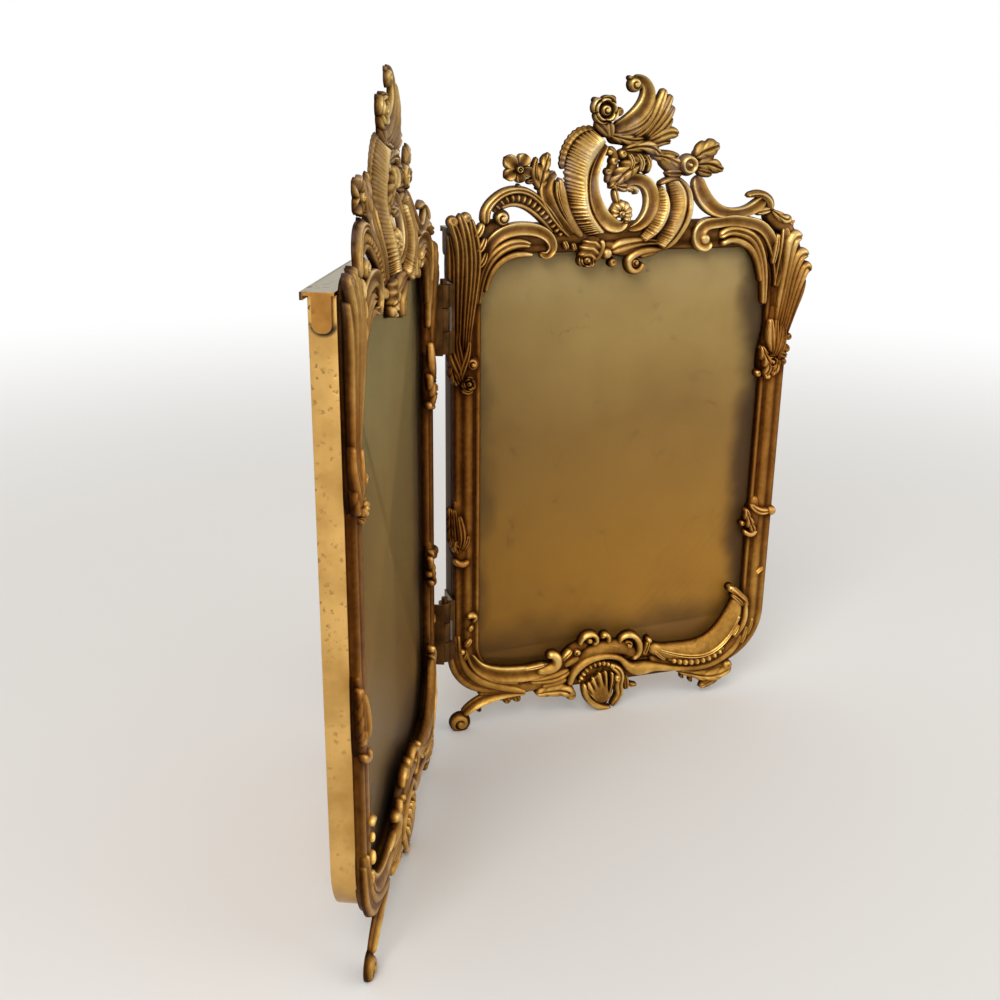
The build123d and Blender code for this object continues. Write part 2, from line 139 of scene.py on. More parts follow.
@dataclass
class Shape:
    """A closed surface: its points and its faces of four corners, a triangle having one twice."""

    points: np.ndarray
    faces: np.ndarray

    @classmethod
    def tube(cls, rings: np.ndarray, endless: bool = False) -> "Shape":
        """Skin a row of closed rings.

        Formula: ring i, point j joins ring i + 1 and point j + 1, and a fan closes each end.

        Args:
            rings: Points of shape (rings, points in a ring, 3), rings anticlockwise seen from
                the end.
            endless: Whether the last ring joins the first.

        Returns:
            The closed surface.
        """
        count, around, _ = rings.shape
        first = np.arange(count if endless else count - 1)[:, None]
        second = (first + 1) % count
        here = np.arange(around)[None, :]
        there = (here + 1) % around
        corners = ((first, here), (second, here), (second, there), (first, there))
        quads = np.stack([ring * around + point for ring, point in corners], axis=-1).reshape(-1, 4)
        points = rings.reshape(-1, 3)
        if endless:
            return cls(points, quads)
        ends = np.stack([rings[0].mean(axis=0), rings[-1].mean(axis=0)])
        low, high = len(points), len(points) + 1
        near, far = here[0], there[0]
        base = (count - 1) * around
        start = np.stack([np.full(around, low), near, far, np.full(around, low)], axis=-1)
        stop = np.stack([np.full(around, high), base + far, base + near, np.full(around, high)], axis=-1)
        return cls(np.vstack([points, ends]), np.vstack([quads, start, stop]))

    @classmethod
    def join(cls, shapes: list["Shape"]) -> "Shape":
        """Put several surfaces into one, each keeping its own points."""
        starts = np.cumsum([0] + [len(shape.points) for shape in shapes[:-1]])
        return cls(
            np.vstack([shape.points for shape in shapes]),
            np.vstack([shape.faces + start for shape, start in zip(shapes, starts)]),
        )


class Section(Enum):
    """What a carved band looks like cut across."""

    ROUND = "round"
    TROUGH = "trough"
    FLUTED = "fluted"
    CREASED = "creased"
    ROLLED = "rolled"
    LEAF = "leaf"


def section_height(section: Section, across: np.ndarray, flutes: int) -> np.ndarray:
    """Height of a section over its width.

    Formula: an arch of the form (1 - |v|^n)^½, lowered by a dip in the middle, by a cosine for
    each flute or by a narrow bell for the crease.

    Args:
        section: The kind of section.
        across: Places across the band, from -1 to 1.
        flutes: How many flutes a fluted section has.

    Returns:
        Heights from 0 at the edges to about 1.
    """
    span = np.abs(across)
    if section is Section.ROUND:
        return np.sqrt(1 - span**2.2)
    if section is Section.TROUGH:
        return np.sqrt(1 - span**6) * (1 - 0.5 * (1 - across**2) ** 1.7)
    if section is Section.FLUTED:
        wave = np.cos(math.pi * flutes * (across + 1))
        return np.sqrt(1 - span**4) * (0.84 - 0.16 * across**2 + 0.14 * wave)
    if section is Section.CREASED:
        return np.sqrt(1 - span**2.4) * (1 - 0.3 * np.exp(-((across / 0.2) ** 2)))
    if section is Section.ROLLED:
        lip = smooth_step(-0.6, 0.75, across)
        groove = 0.14 * np.exp(-(((across + 0.15) / 0.3) ** 2))
        return np.sqrt(1 - span**6) * (0.42 + 0.58 * lip - groove)
    return np.sqrt(1 - span**3) * (1 - 0.4 * np.exp(-((across / 0.13) ** 2)) - 0.16 * span**2)


@dataclass(frozen=True)
class Frond:
    """One carved band: rows of x, z, half width and height, and the way that it is worked."""

    rows: tuple
    section: Section = Section.ROUND
    flutes: int = 3
    ribs: float = 0.0
    depth: float = 0.3
    scallop: float = 0.0
    lean: float = 0.0
    base: float = 0.42

    def shape(self) -> Shape:
        """Build the band.

        Formula: the middle line is a smooth path, each ring spans its half width to both sides,
        raised from the edge level by the section's height and by ribs, a wave along the path
        that leans with the distance from the middle. A leaf has narrow notches instead, which
        deepen towards its edge. Both ends are rounded as half circles, and the back is a hollow
        that follows the front.
        """
        rows = np.array(self.rows, float)
        length = float(np.hypot(*np.diff(rows[:, :2], axis=0).T).sum())
        pitch = 0.5 if not self.ribs else min(0.5, length / self.ribs / 10)
        count = int(np.clip(length / pitch, 18, 240))
        x, z, half, high = smooth_path(rows, count).T
        half = np.maximum(half, 0.25)
        high = np.maximum(high, 0.6)
        along_x, along_z = np.gradient(x), np.gradient(z)
        run = np.hypot(along_x, along_z)
        along_x, along_z = along_x / run, along_z / run
        travel = np.linspace(0.0, length, count)
        near_end = np.minimum(travel / (1.2 * half[0]), (length - travel) / (1.2 * half[-1]))
        cap = np.sqrt(np.clip(1 - (1 - np.clip(near_end, 0, 1)) ** 2, 0.004, 1))
        across = -np.cos(np.linspace(0.0, math.pi, 31))
        across = 0.35 * across + 0.65 * np.linspace(-1, 1, len(across))
        span = np.abs(across)[None, :]
        phase = self.ribs * travel[:, None] / length - self.lean * span
        if self.section is Section.LEAF:
            dip = np.exp(-(((phase % 1.0 - 0.5) / 0.16) ** 2)) * (0.2 + 0.8 * span)
        else:
            dip = 0.5 - 0.5 * np.cos(2 * math.pi * phase)
        dip = dip if self.ribs else np.zeros_like(phase)
        edge = (self.base * high)[:, None]
        crown = ((1 - self.base) * high * cap**0.6)[:, None]
        body = crown * section_height(self.section, across, self.flutes)[None, :]
        body = body * (1 - self.depth * dip)
        reach = (half * cap)[:, None] * (1 - self.scallop * dip) * across[None, :]
        flat_x = x[:, None] - along_z[:, None] * reach
        flat_z = z[:, None] + along_x[:, None] * reach
        front = np.stack([flat_x, flat_z, CAST_BACK + edge + body], axis=-1)
        back = front[:, -4:0:-4].copy()
        back[..., 2] = CAST_BACK + 0.8 * edge + 0.3 * (back[..., 2] - CAST_BACK - edge)
        return Shape.tube(np.concatenate([front, back], axis=1))


@dataclass(frozen=True)
class Fan:
    """One ribbed shell between an inner and an outer line, each with rows of x and z."""

    inner: tuple
    outer: tuple
    heights: tuple
    ribs: float
    depth: float = 0.16
    scallop: float = 0.6
    base: float = 2.4
    smooth: float = 0.5

    def shape(self) -> Shape:
        """Build the shell.

        Formula: rings run straight from the inner to the outer line. Across a ring the height
        follows the smooth curve through its height controls, and the ribs, a cosine along the
        shell, grow from the smooth share of the ring to its outer edge, which they scallop, and
        are deeper towards the shell's foot. Two slow sines make their spacing and depth uneven,
        as cut by hand.
        """
        count = int(self.ribs * 10)
        inner = smooth_path(np.array(self.inner, float), count)
        outer = smooth_path(np.array(self.outer, float), count)
        along = np.linspace(0.0, 1.0, count)
        beat = along + 0.011 * np.sin(20.7 * along) + 0.005 * np.sin(49.6 * along)
        wave = 0.5 + 0.5 * np.cos(2 * math.pi * self.ribs * beat)
        reach = outer - inner
        size = np.hypot(*reach.T)[:, None]
        outer = outer + reach / size * (self.scallop * (wave - 0.5))[:, None]
        share = np.linspace(0.0, 1.0, 41)
        evenly = np.linspace(0, 1, len(self.heights))
        controls = np.stack([evenly, np.zeros_like(evenly), self.heights], axis=-1)
        crown = smooth_path(controls, len(share))[:, 2]
        ends = np.sqrt(np.clip(np.minimum(along, 1 - along) / 0.03, 0.02, 1))
        start = self.smooth - 0.36 * smooth_step(0.55, 0.85, along)
        grown = np.clip((share[None, :] - start[:, None]) / 0.24, 0, 1) ** 1.5
        deeper = 0.6 + 1.3 * smooth_step(0.5, 0.8, along)
        depth = self.depth * deeper * (1 + 0.35 * np.sin(33.3 * along))
        body = crown[None, :] * ends[:, None] * (1 - grown * (depth * (1 - wave))[:, None])
        body = np.maximum(body, self.base)
        body[:, 0] = self.base
        body[:, -1] = self.base
        flat = inner[:, None, :] + share[None, :, None] * (outer - inner)[:, None, :]
        front = np.concatenate([flat, CAST_BACK + body[..., None]], axis=-1)
        line = np.gradient(inner, axis=0)
        if float((line[:, 0] * reach[:, 1] - line[:, 1] * reach[:, 0]).sum()) < 0:
            front = front[::-1]
        back = front[:, -5:0:-5].copy()
        back[..., 2] = CAST_BACK + 0.8 * self.base + 0.3 * (back[..., 2] - CAST_BACK - self.base)
        return Shape.tube(np.concatenate([front, back], axis=1))


class Head(Enum):
    """What a round carved head looks like from the front."""

    BEAD = "bead"
    COIL = "coil"
    CUP = "cup"
    RING = "ring"


@dataclass(frozen=True)
class Bloom:
    """One round carved head: a bead, a coiled volute, a dented petal or a ringed eye."""

    x: float
    z: float
    radius: float
    high: float
    head: Head = Head.BEAD
    turn: float = 0.0
    base: float = 0.42

    def shape(self) -> Shape:
        """Build the head.

        Formula: rings shrink from the rim to the middle over a dome of (1 - r²)^½. A coil has a
        groove along the spiral where the angle equals 1.6 turns of the radius, a petal has a
        bell-shaped dent beside its middle, and a ringed eye has a cosine over its radius.
        """
        steps = 30 if self.head is Head.COIL else 18
        around = 56 if self.head is Head.COIL else 32
        share = np.sin(np.linspace(math.pi / 2, 0.02, steps))[:, None]
        angle = -np.linspace(0.0, 2 * math.pi, around, endpoint=False)[None, :]
        dome = np.sqrt(np.clip(1 - share**2.6, 0, 1)) * np.ones_like(angle)
        if self.head is Head.COIL:
            spiral = 0.5 + 0.5 * np.cos(angle + self.turn - 2 * math.pi * 1.6 * share)
            dome = dome * (1 - 0.42 * spiral**3 * smooth_step(0.1, 0.3, share))
        elif self.head is Head.CUP:
            dent_x, dent_z = 0.25 * math.cos(self.turn), 0.25 * math.sin(self.turn)
            off = np.hypot(share * np.cos(angle) - dent_x, share * np.sin(angle) - dent_z)
            dome = dome * (1 - 0.3 * np.exp(-((off / 0.42) ** 2)))
        elif self.head is Head.RING:
            dome = dome * (0.72 + 0.28 * np.cos(3 * math.pi * share))
        body = self.high * (self.base + (1 - self.base) * dome)
        wide = self.radius * share
        flat = [self.x + wide * np.cos(angle), self.z + wide * np.sin(angle)]
        rings = np.stack([*flat, CAST_BACK + body], axis=-1)
        foot = rings[:1].copy()
        foot[..., 2] = CAST_BACK + 0.75 * self.base * self.high
        return Shape.tube(np.concatenate([foot, rings], axis=0))


@dataclass(frozen=True)
class Rosebud:
    """A rose seen from the front: a coiled heart with petals that wrap round it."""

    x: float
    z: float
    radius: float
    high: float
    petals: int = 5
    turn: float = 0.3

    def shape(self) -> Shape:
        """Build the rose from a coil and clockwise arcs whose outer lips are rolled up."""
        shapes = [Bloom(self.x, self.z, 0.5 * self.radius, self.high, Head.COIL, self.turn).shape()]
        for row, (reach, height) in enumerate(((0.56, 0.97), (0.8, 0.86))):
            for petal in range(self.petals - row):
                middle = self.turn + 2 * math.pi * (petal + 0.5 * row) / (self.petals - row)
                angles = middle + np.array([0.85, 0.4, 0.0, -0.4, -0.85])
                lift = self.high * height * np.array([0.78, 0.95, 1.0, 0.93, 0.72])
                out = self.radius * reach * np.array([0.94, 1.02, 1.04, 1.0, 0.9])
                half = self.radius * np.array([0.16, 0.26, 0.3, 0.26, 0.16])
                flat = [self.x + out * np.cos(angles), self.z + out * np.sin(angles)]
                rows = np.stack([*flat, half, lift], axis=-1)
                shapes.append(Frond(tuple(map(tuple, rows.tolist())), Section.ROLLED).shape())
        return Shape.join(shapes)


@dataclass(frozen=True)
class Carving:
    """One named piece of the casting and the shapes that it is made of."""

    name: str
    node: str
    parts: tuple
    # Shifts the piece's value of wear and painted light up or down.
    level_shift: float = 0.0

    def shape(self) -> Shape:
        """Join the shapes of the piece, and press its relief flatter.

        Formula: the height over the back shrinks to the relief's share, and the whole sits back.
        Above the tray the cresting is flatter still and leans back.
        """
        shape = Shape.join([part.shape() for part in self.parts])
        over = smooth_step(*LEAN_HEIGHTS, shape.points[:, 1])
        share = RELIEF - CREST_FLATTER * over
        depth = CAST_BACK + share * (shape.points[:, 2] - CAST_BACK) - SET_BACK - CREST_LEAN * over
        return Shape(sink(shape.points, np.maximum(depth, CREST_BACK)), shape.faces)


def sink(points: np.ndarray, depth: np.ndarray) -> np.ndarray:
    """Move points to new depths along their lines from the eye, so that the drawing stays.

    Args:
        points: Rows of x, z and depth.
        depth: The new depth of each point.

    Returns:
        The moved points.
    """
    eye = np.array(EYE)
    share = (points[:, 2] - depth) / (eye[2] - points[:, 2])
    return np.column_stack([points[:, :2] + (points[:, :2] - eye[:2]) * share[:, None], depth])


def leaf(rows: tuple, ribs: float, scallop: float = 0.34, depth: float = 0.42, lean: float = 0.9) -> Frond:
    """An acanthus leaf along rows of x, z, half width and height."""
    return Frond(rows, Section.LEAF, ribs=ribs, depth=depth, scallop=scallop, lean=lean)


def blade(*rows: tuple) -> Frond:
    """A plain leaf blade with a crease along its middle."""
    return Frond(rows, Section.CREASED)


def scroll(*rows: tuple) -> Frond:
    """A scroll with a broad hollow along its middle."""
    return Frond(rows, Section.TROUGH)


def band(*rows: tuple) -> Frond:
    """A plain rounded band."""
    return Frond(rows)


def ground(*rows: tuple) -> Frond:
    """A flat ground that reaches down to the tray, between the carved forms."""
    return Frond(rows, base=0.08)


class Crest:
    """The pierced cresting over the top rail, in the carver's groups."""

    shell = Carving("crest_shell", "crest", level_shift=0.16, parts=(
        Fan(
            ((-12.2, 209.6), (-14.9, 205), (-17, 201.3), (-17.8, 197), (-17.6, 192.8), (-16.9, 189.2),
             (-15.4, 186), (-13.2, 183), (-11.2, 180.6)),
            ((-15.6, 213.6), (-20, 211.8), (-23.2, 208.6), (-25.1, 204.6), (-25.8, 200), (-25.3, 194.6),
             (-24.4, 189.6), (-22.4, 184.9), (-19.2, 181.2), (-16.2, 179)),
            (4.6, 6.8, 7.9, 7.7, 6.9, 6.1, 5.4, 4.7, 3.6), 34, depth=0.07, smooth=0.72,
        ),
        Frond(
            ((-15.4, 213.4, 1.1, 4), (-19.8, 212.6, 1.7, 4.2), (-23.4, 209.8, 1.8, 4.2),
             (-25.6, 205.4, 1.7, 4), (-26.4, 200.8, 1.2, 3.8)),
            Section.FLUTED, flutes=2, ribs=11, depth=0.12, scallop=0.16,
        ),
        scroll(
            (-11.6, 208.8, 0.9, 5.4), (-14.4, 204, 1.5, 6.4), (-16.1, 199, 1.7, 6.8),
            (-15.9, 193.5, 2.1, 6.8), (-14.2, 188.6, 2.6, 6.6), (-11.4, 184.8, 2.9, 6.2),
            (-7.8, 182.7, 2.5, 5.8), (-4.9, 182.8, 1.7, 5.4), (-3.5, 184.4, 1.1, 5),
        ),
        Frond(
            ((-3.8, 183.2, 1.4, 5.6), (-3.3, 186.2, 1.9, 6.4), (-4.6, 188.8, 2.1, 6.6), (-6.9, 188.8, 2, 6.4),
             (-7.9, 186.6, 1.8, 6), (-6.8, 184.9, 1.4, 5.4)),
            ribs=9, depth=0.22, scallop=0.08,
        ),
        Bloom(-5.6, 186.6, 1.5, 6.2, Head.COIL),
        blade((-8.2, 194.6, 0.9, 5.2), (-7.6, 192, 1.2, 5.6), (-6.9, 189.8, 0.9, 5.6)),
    ))
    finial = Carving("crest_finial", "crest", parts=(
        scroll(
            (-9.3, 213.4, 1.7, 4.6), (-5.2, 215.2, 2.3, 5.4), (-1.4, 217.8, 2.7, 6.2), (1.2, 221.2, 2.7, 6.5),
            (2.1, 224.6, 2.5, 6.2), (1.1, 227.5, 2, 5.6), (-1, 228.9, 1.5, 4.8), (-2.8, 228.9, 0.9, 4.2),
        ),
        Bloom(-2.4, 227.2, 2.5, 5.8, Head.COIL, turn=0.4),
        Bloom(-4, 229.2, 0.8, 4.2),
        Rosebud(-12.8, 219.3, 4.3, 7.2),
        Bloom(-7.4, 218.8, 1.5, 5.4, Head.CUP),
        Bloom(-15.7, 222.2, 1.1, 5, Head.CUP),
        Bloom(-9.9, 222.7, 1.2, 5, Head.CUP, turn=2),
        blade((-15.6, 215.6, 1.3, 4.8), (-13.4, 213.6, 2.1, 5.6), (-10.8, 211.2, 1.5, 5.2)),
        blade((-11, 216, 1.7, 5.4), (-10.8, 213.2, 2, 5.8), (-10.2, 210.4, 1.3, 5)),
        blade(
            (-8.6, 211.8, 1.4, 4.4), (-3.6, 212.8, 1.9, 5.2), (0.8, 215, 1.8, 5.6), (3.8, 218.8, 1.6, 5.8),
            (5.2, 223.4, 0.8, 4.8),
        ),
        band((0, 210.4, 2.4, 3.2), (4.6, 213.4, 4, 3.6), (7.8, 218, 3.8, 3.6), (8.8, 222.6, 2, 3.4)),
        blade((-2.4, 210.8, 1, 4.6), (1.6, 213.4, 1.7, 5.6), (4.4, 217.6, 1.7, 5.8), (6.2, 221.8, 1, 5)),
        blade((1.4, 211.6, 1.3, 5), (4.2, 216.4, 2, 6.2), (6.4, 221.4, 2, 6.4), (8.4, 226.2, 1.2, 4.8)),
        blade((2, 211, 1.3, 5), (5.4, 215.4, 2, 6), (8.3, 219.9, 2, 6.2), (10.9, 224.4, 1.2, 4.6)),
        blade((2.6, 210.4, 1.2, 5), (6.2, 213.9, 2, 6), (9.2, 217.3, 2, 6), (12, 220.9, 1.1, 4.6)),
        blade((3, 210, 1.1, 5), (6.8, 212.6, 1.8, 6), (9.4, 214.7, 1.7, 5.8), (11.4, 217.4, 0.9, 4.6)),
        blade((2.8, 209.4, 1.3, 5.2), (6.8, 211, 2.1, 6.2), (10.4, 212.3, 2.3, 6.2), (14.3, 211.7, 1.4, 4.8)),
        blade((2.6, 208.6, 1.2, 5), (6, 209, 1.6, 5.8), (9, 209.7, 1.5, 5.4), (11.6, 209.2, 0.8, 4.4)),
        band((-11, 210.6, 1.9, 3.4), (-6.4, 210.8, 2.4, 3.6), (-1.8, 210.2, 2.6, 3.8), (2, 209.2, 2, 3.8)),
        leaf(
            ((-10.8, 211.6, 1, 4.8), (-6.6, 210.6, 1.9, 5.6), (-2.2, 209.9, 1.9, 5.8), (1.8, 210.2, 1, 5)),
            3, 0.2, 0.3,
        ),
        leaf(
            ((-5.6, 207, 1.3, 5.2), (-0.6, 208, 2.2, 6.4), (4, 207.6, 2.4, 6.8), (7.6, 205, 1.3, 5.6)),
            2.5, 0.2, 0.3,
        ),
    ))
    heart = Carving("crest_heart", "crest", level_shift=0.05, parts=(
        leaf(
            ((4.8, 204, 1.6, 5.6), (0.5, 203, 2.9, 6.6), (-3.8, 201, 3.6, 7), (-7.2, 198, 3, 6.4),
             (-9.9, 194.6, 1.3, 5)),
            5.5, 0.4,
        ),
        band((-10.2, 208, 1.2, 4.4), (-8.4, 204, 1.7, 4.8), (-9.8, 200, 1.3, 4.6), (-10.8, 196.4, 0.8, 4.4)),
        band((-7, 206.4, 1.4, 4.4), (-2, 204.4, 3, 5), (2.8, 202, 2.4, 5), (3, 199, 1.4, 4.6)),
        Bloom(-9, 203.4, 1.6, 6, Head.CUP),
        Bloom(-6, 205.6, 1.6, 6.2, Head.CUP, turn=1),
        Bloom(-10.6, 206.2, 1.2, 5.6),
        Bloom(-10.6, 200, 1.3, 5.4, Head.CUP, turn=3),
        blade((-4.2, 206, 0.8, 6.2), (-3.2, 203.4, 1.1, 7.5), (-3.7, 200.2, 0.7, 6.8)),
        blade((-1.2, 206, 0.9, 6.4), (0.2, 203, 1.2, 7.7), (-0.3, 199.8, 0.8, 7)),
        blade((1.7, 205.6, 0.8, 6.2), (3, 202.8, 1.1, 7.3), (2.6, 199.8, 0.7, 6.6)),
        leaf(((-10, 197, 1, 5), (-7.2, 195.4, 1.7, 6.2), (-3.8, 195, 1.6, 6.4), (-1, 194, 1, 5.6)), 3, 0.3),
        scroll(
            (-5.8, 193.6, 1.1, 5.4), (-4.8, 196.2, 1.6, 6.2), (-1.2, 197.6, 2.1, 6.6), (2.5, 196.3, 2.4, 6.9),
            (4.8, 192.7, 2.7, 6.9), (5, 188.2, 2.7, 6.6), (3.1, 184.4, 2.3, 6.2), (0.2, 182.2, 1.6, 5.6),
            (-2.7, 181.4, 0.7, 4.8),
        ),
        band((-4.9, 193.9, 0.9, 5.8), (-2.8, 195.1, 1.1, 6.4), (-0.8, 194.1, 1, 6.2), (-1, 192.6, 0.7, 5.4)),
        Fan(
            ((8, 196), (10.9, 191.9), (11.6, 187.4), (9.8, 182.6), (6.4, 179.1), (2.2, 177)),
            ((6.8, 194.8), (7, 191), (6.6, 187.2), (5, 183.6), (3, 181), (1, 178.8)),
            (4.6, 7, 7.8, 7.6, 6.8, 6, 5.4), 20, depth=0.035, scallop=0.1, smooth=0.4,
        ),
        Fan(
            ((13.4, 198), (17.2, 194.4), (18.4, 189.4), (17.4, 184), (14.3, 178.7), (9.6, 174.4)),
            ((10.4, 196.8), (11.4, 192.6), (11.2, 188.2), (9.8, 183.8), (8, 180), (6.6, 176.2)),
            (4.6, 6.4, 7.4, 7.4, 6.8, 6, 5.4, 4.8), 26, depth=0.03, scallop=0.1, smooth=0.5,
        ),
        band(
            (14, 198, 1, 5.2), (17.6, 194.8, 1.3, 6.2), (19.1, 189.6, 1.4, 6.6), (18.3, 184, 1.4, 6.4),
            (15.5, 179, 1.3, 6), (12, 175.6, 1.1, 5.4), (9.8, 174.6, 0.6, 4.8),
        ),
        band((7.6, 195.8, 0.8, 5), (11.4, 197.4, 1.1, 5.8), (15.2, 197.6, 0.9, 5.2)),
        leaf(
            ((4.8, 205, 1.6, 5), (8.6, 204.7, 1.9, 5.6), (12, 203.4, 2.3, 6), (15.4, 201.8, 2.2, 5.8)),
            3, 0.2, 0.3,
        ),
        band((7.4, 204.4, 1.4, 4.6), (11.6, 202.4, 2.8, 5.2), (15.6, 200.8, 2.8, 5.2)),
        blade((9.9, 199.4, 1.2, 5), (13, 199.4, 1.9, 5.6), (16.2, 199.4, 1.4, 5.2)),
        band((5.6, 206.6, 0.9, 4.6), (8.8, 206, 1, 4.8), (12.4, 205.6, 1, 4.6), (15, 204.8, 0.8, 4.4)),
    ))
    right_scrolls = Carving("crest_right_scrolls", "crest", parts=(
        Bloom(18, 202.1, 3.7, 7.4, Head.RING),
        band((20.6, 203.4, 2.4, 4.4), (24.6, 204.4, 2.8, 4.8), (28, 205.2, 1.8, 4.4)),
        leaf(
            ((20, 204.2, 1.8, 5.2), (23.1, 206.3, 3.2, 5.8), (26.5, 207.5, 3.2, 5.6),
             (29.8, 208.5, 1.8, 4.6)),
            2.5, 0.2, 0.22,
        ),
        leaf(
            ((21, 202, 1.8, 5.2), (25, 202.4, 2.7, 6), (28.8, 201.3, 2.4, 5.4), (31.8, 200.2, 1, 4.2)),
            2.5, 0.2, 0.22,
        ),
        blade((21.4, 200.4, 1.4, 5), (24.4, 199.6, 1.7, 5.4), (27.6, 199, 1.1, 4.4)),
        scroll(
            (21.8, 198.6, 2, 5.4), (22.6, 194.6, 2.7, 6.4), (25, 190.6, 2.9, 6.7), (28.8, 187.6, 2.6, 6.5),
            (33.5, 186.2, 2, 6.1), (38.6, 186.2, 1.8, 5.9), (42.6, 187.2, 2.1, 5.9), (46, 189.2, 2.2, 5.9),
            (48.2, 191, 1.3, 5),
        ),
        Frond(
            ((41.2, 191.7, 0.9, 4.4), (44.2, 192.3, 1.3, 5.2), (47.6, 191.8, 1.5, 5.8), (50, 189.6, 1.6, 6),
             (50.8, 186.6, 1.2, 5.2)),
            Section.FLUTED, flutes=2,
        ),
        blade((44.8, 186, 1, 5.2), (48, 186.7, 1.6, 5.8), (50.6, 187, 0.9, 5)),
        ground((49.4, 186.4, 1.8, 3.6), (53.4, 183.4, 2.9, 3.8), (57.4, 181, 3, 3.8), (60, 177.8, 2, 3.6)),
        leaf(
            ((51, 186.8, 1.2, 4.8), (54.4, 184.6, 1.8, 5.4), (57.4, 183.6, 1.9, 5.4),
             (59.2, 184.9, 0.9, 4.4)),
            2, 0.16,
        ),
    ))
    left_scrolls = Carving("crest_left_scrolls", "crest", parts=(
        blade(
            (-52.4, 183.6, 1.8, 5), (-52.3, 188, 1.8, 5.4), (-50, 191.4, 1.6, 5.8), (-46.4, 193.8, 1.5, 6),
            (-42.4, 194.6, 1.4, 6.2), (-38.4, 193.8, 1.4, 6.2), (-34.8, 191.4, 1.4, 6.2),
            (-31.6, 188.2, 1.5, 6), (-28.8, 184.8, 1.4, 5.6), (-26, 181.2, 1.1, 5.2),
        ),
        Frond(
            ((-49.6, 187.6, 1.1, 4.8), (-46.8, 190.9, 1.6, 5.2), (-43, 192.1, 1.7, 5.4),
             (-39.6, 191.6, 1.8, 5.6), (-36.4, 190, 1.8, 5.6), (-33.4, 187.4, 1.8, 5.6),
             (-30.6, 184.4, 1.7, 5.4), (-27.6, 181, 1.3, 5.2), (-25.4, 179, 0.9, 4.8)),
            ribs=16, depth=0.5,
        ),
        band(
            (-47.6, 188.8, 0.8, 4.6), (-44.6, 190, 0.9, 5), (-41, 189.8, 0.9, 5.2), (-37.4, 188.1, 0.9, 5.2),
            (-34.2, 185.6, 0.9, 5), (-31.2, 182.6, 0.8, 4.8), (-29.4, 180.6, 0.6, 4.6),
        ),
        Bloom(-47, 185.9, 2.7, 6, Head.COIL, turn=0.5),
        Bloom(-41.6, 201, 3, 4),
        scroll(
            (-42.2, 201.5, 1, 5.2), (-43.7, 202.7, 2.3, 6), (-45.2, 203.9, 2.2, 5.8),
            (-46.2, 204.7, 1.1, 4.6),
        ),
        scroll((-41, 202, 1, 5.2), (-40.3, 203.4, 2.2, 6), (-39.4, 204.8, 2.1, 5.8), (-38.9, 205.8, 1, 4.6)),
        scroll(
            (-40.5, 200.8, 0.9, 5.2), (-39, 200.4, 1.8, 5.8), (-37.6, 199.9, 1.7, 5.6),
            (-36.6, 199.5, 0.8, 4.6),
        ),
        scroll(
            (-41.4, 200, 0.9, 5.2), (-41.1, 198.7, 1.7, 5.8), (-40.8, 197.5, 1.7, 5.6),
            (-40.6, 196.6, 0.9, 4.6),
        ),
        scroll((-42.6, 200.5, 1, 5.2), (-44, 199.7, 2, 6), (-45.3, 198.9, 2, 5.8), (-46.2, 198.3, 1, 4.6)),
        Bloom(-41.6, 201, 1.3, 6.8, Head.RING),
        blade((-39, 197.6, 0.9, 5), (-37.4, 197.2, 1, 5.2), (-36.2, 198.6, 0.7, 4.6)),
        band((-41.6, 196.6, 1, 4.8), (-41.4, 194.8, 0.9, 5)),
        leaf(
            ((-34.6, 194.2, 2, 5.4), (-34.2, 198.2, 2.9, 6.4), (-33, 202, 2.5, 6), (-31.2, 206.2, 1, 4.4)),
            3.5, 0.42,
        ),
        blade((-35.6, 196.2, 1.1, 5.4), (-36.5, 200, 1.3, 5.8), (-35.2, 204.8, 0.7, 4.2)),
        scroll(
            (-28.6, 200, 0.9, 5), (-31.2, 198.2, 1.8, 6), (-32.6, 194.2, 2.4, 6.6), (-31.2, 190, 2.3, 6.6),
            (-28.8, 186.2, 2, 6.4), (-25.8, 182.8, 1.8, 6), (-22.6, 179.6, 1.4, 5.4),
        ),
        band(
            (-27.6, 198.4, 0.9, 5), (-27, 195, 1.7, 5.8), (-26.2, 190.8, 2.1, 5.8), (-24.6, 186.4, 2.2, 5.6),
            (-21.6, 182, 1.9, 5.2), (-18.6, 179, 1.2, 4.8),
        ),
        blade(
            (-28.9, 197.6, 0.6, 6.2), (-28.8, 193.6, 0.9, 6.6), (-27.4, 189.4, 0.9, 6.4),
            (-24.8, 185, 0.6, 6),
        ),
        band((-30.6, 198.4, 1.6, 4.6), (-30, 192, 2.4, 5), (-26.8, 186, 2.6, 4.8), (-22, 180.8, 2, 4.4)),
        blade((-25.6, 178.4, 1.1, 5.2), (-24.2, 175.2, 1.2, 5.4)),
        blade((-22.4, 177.6, 1, 5.2), (-21.6, 174.6, 1, 5.2)),
    ))
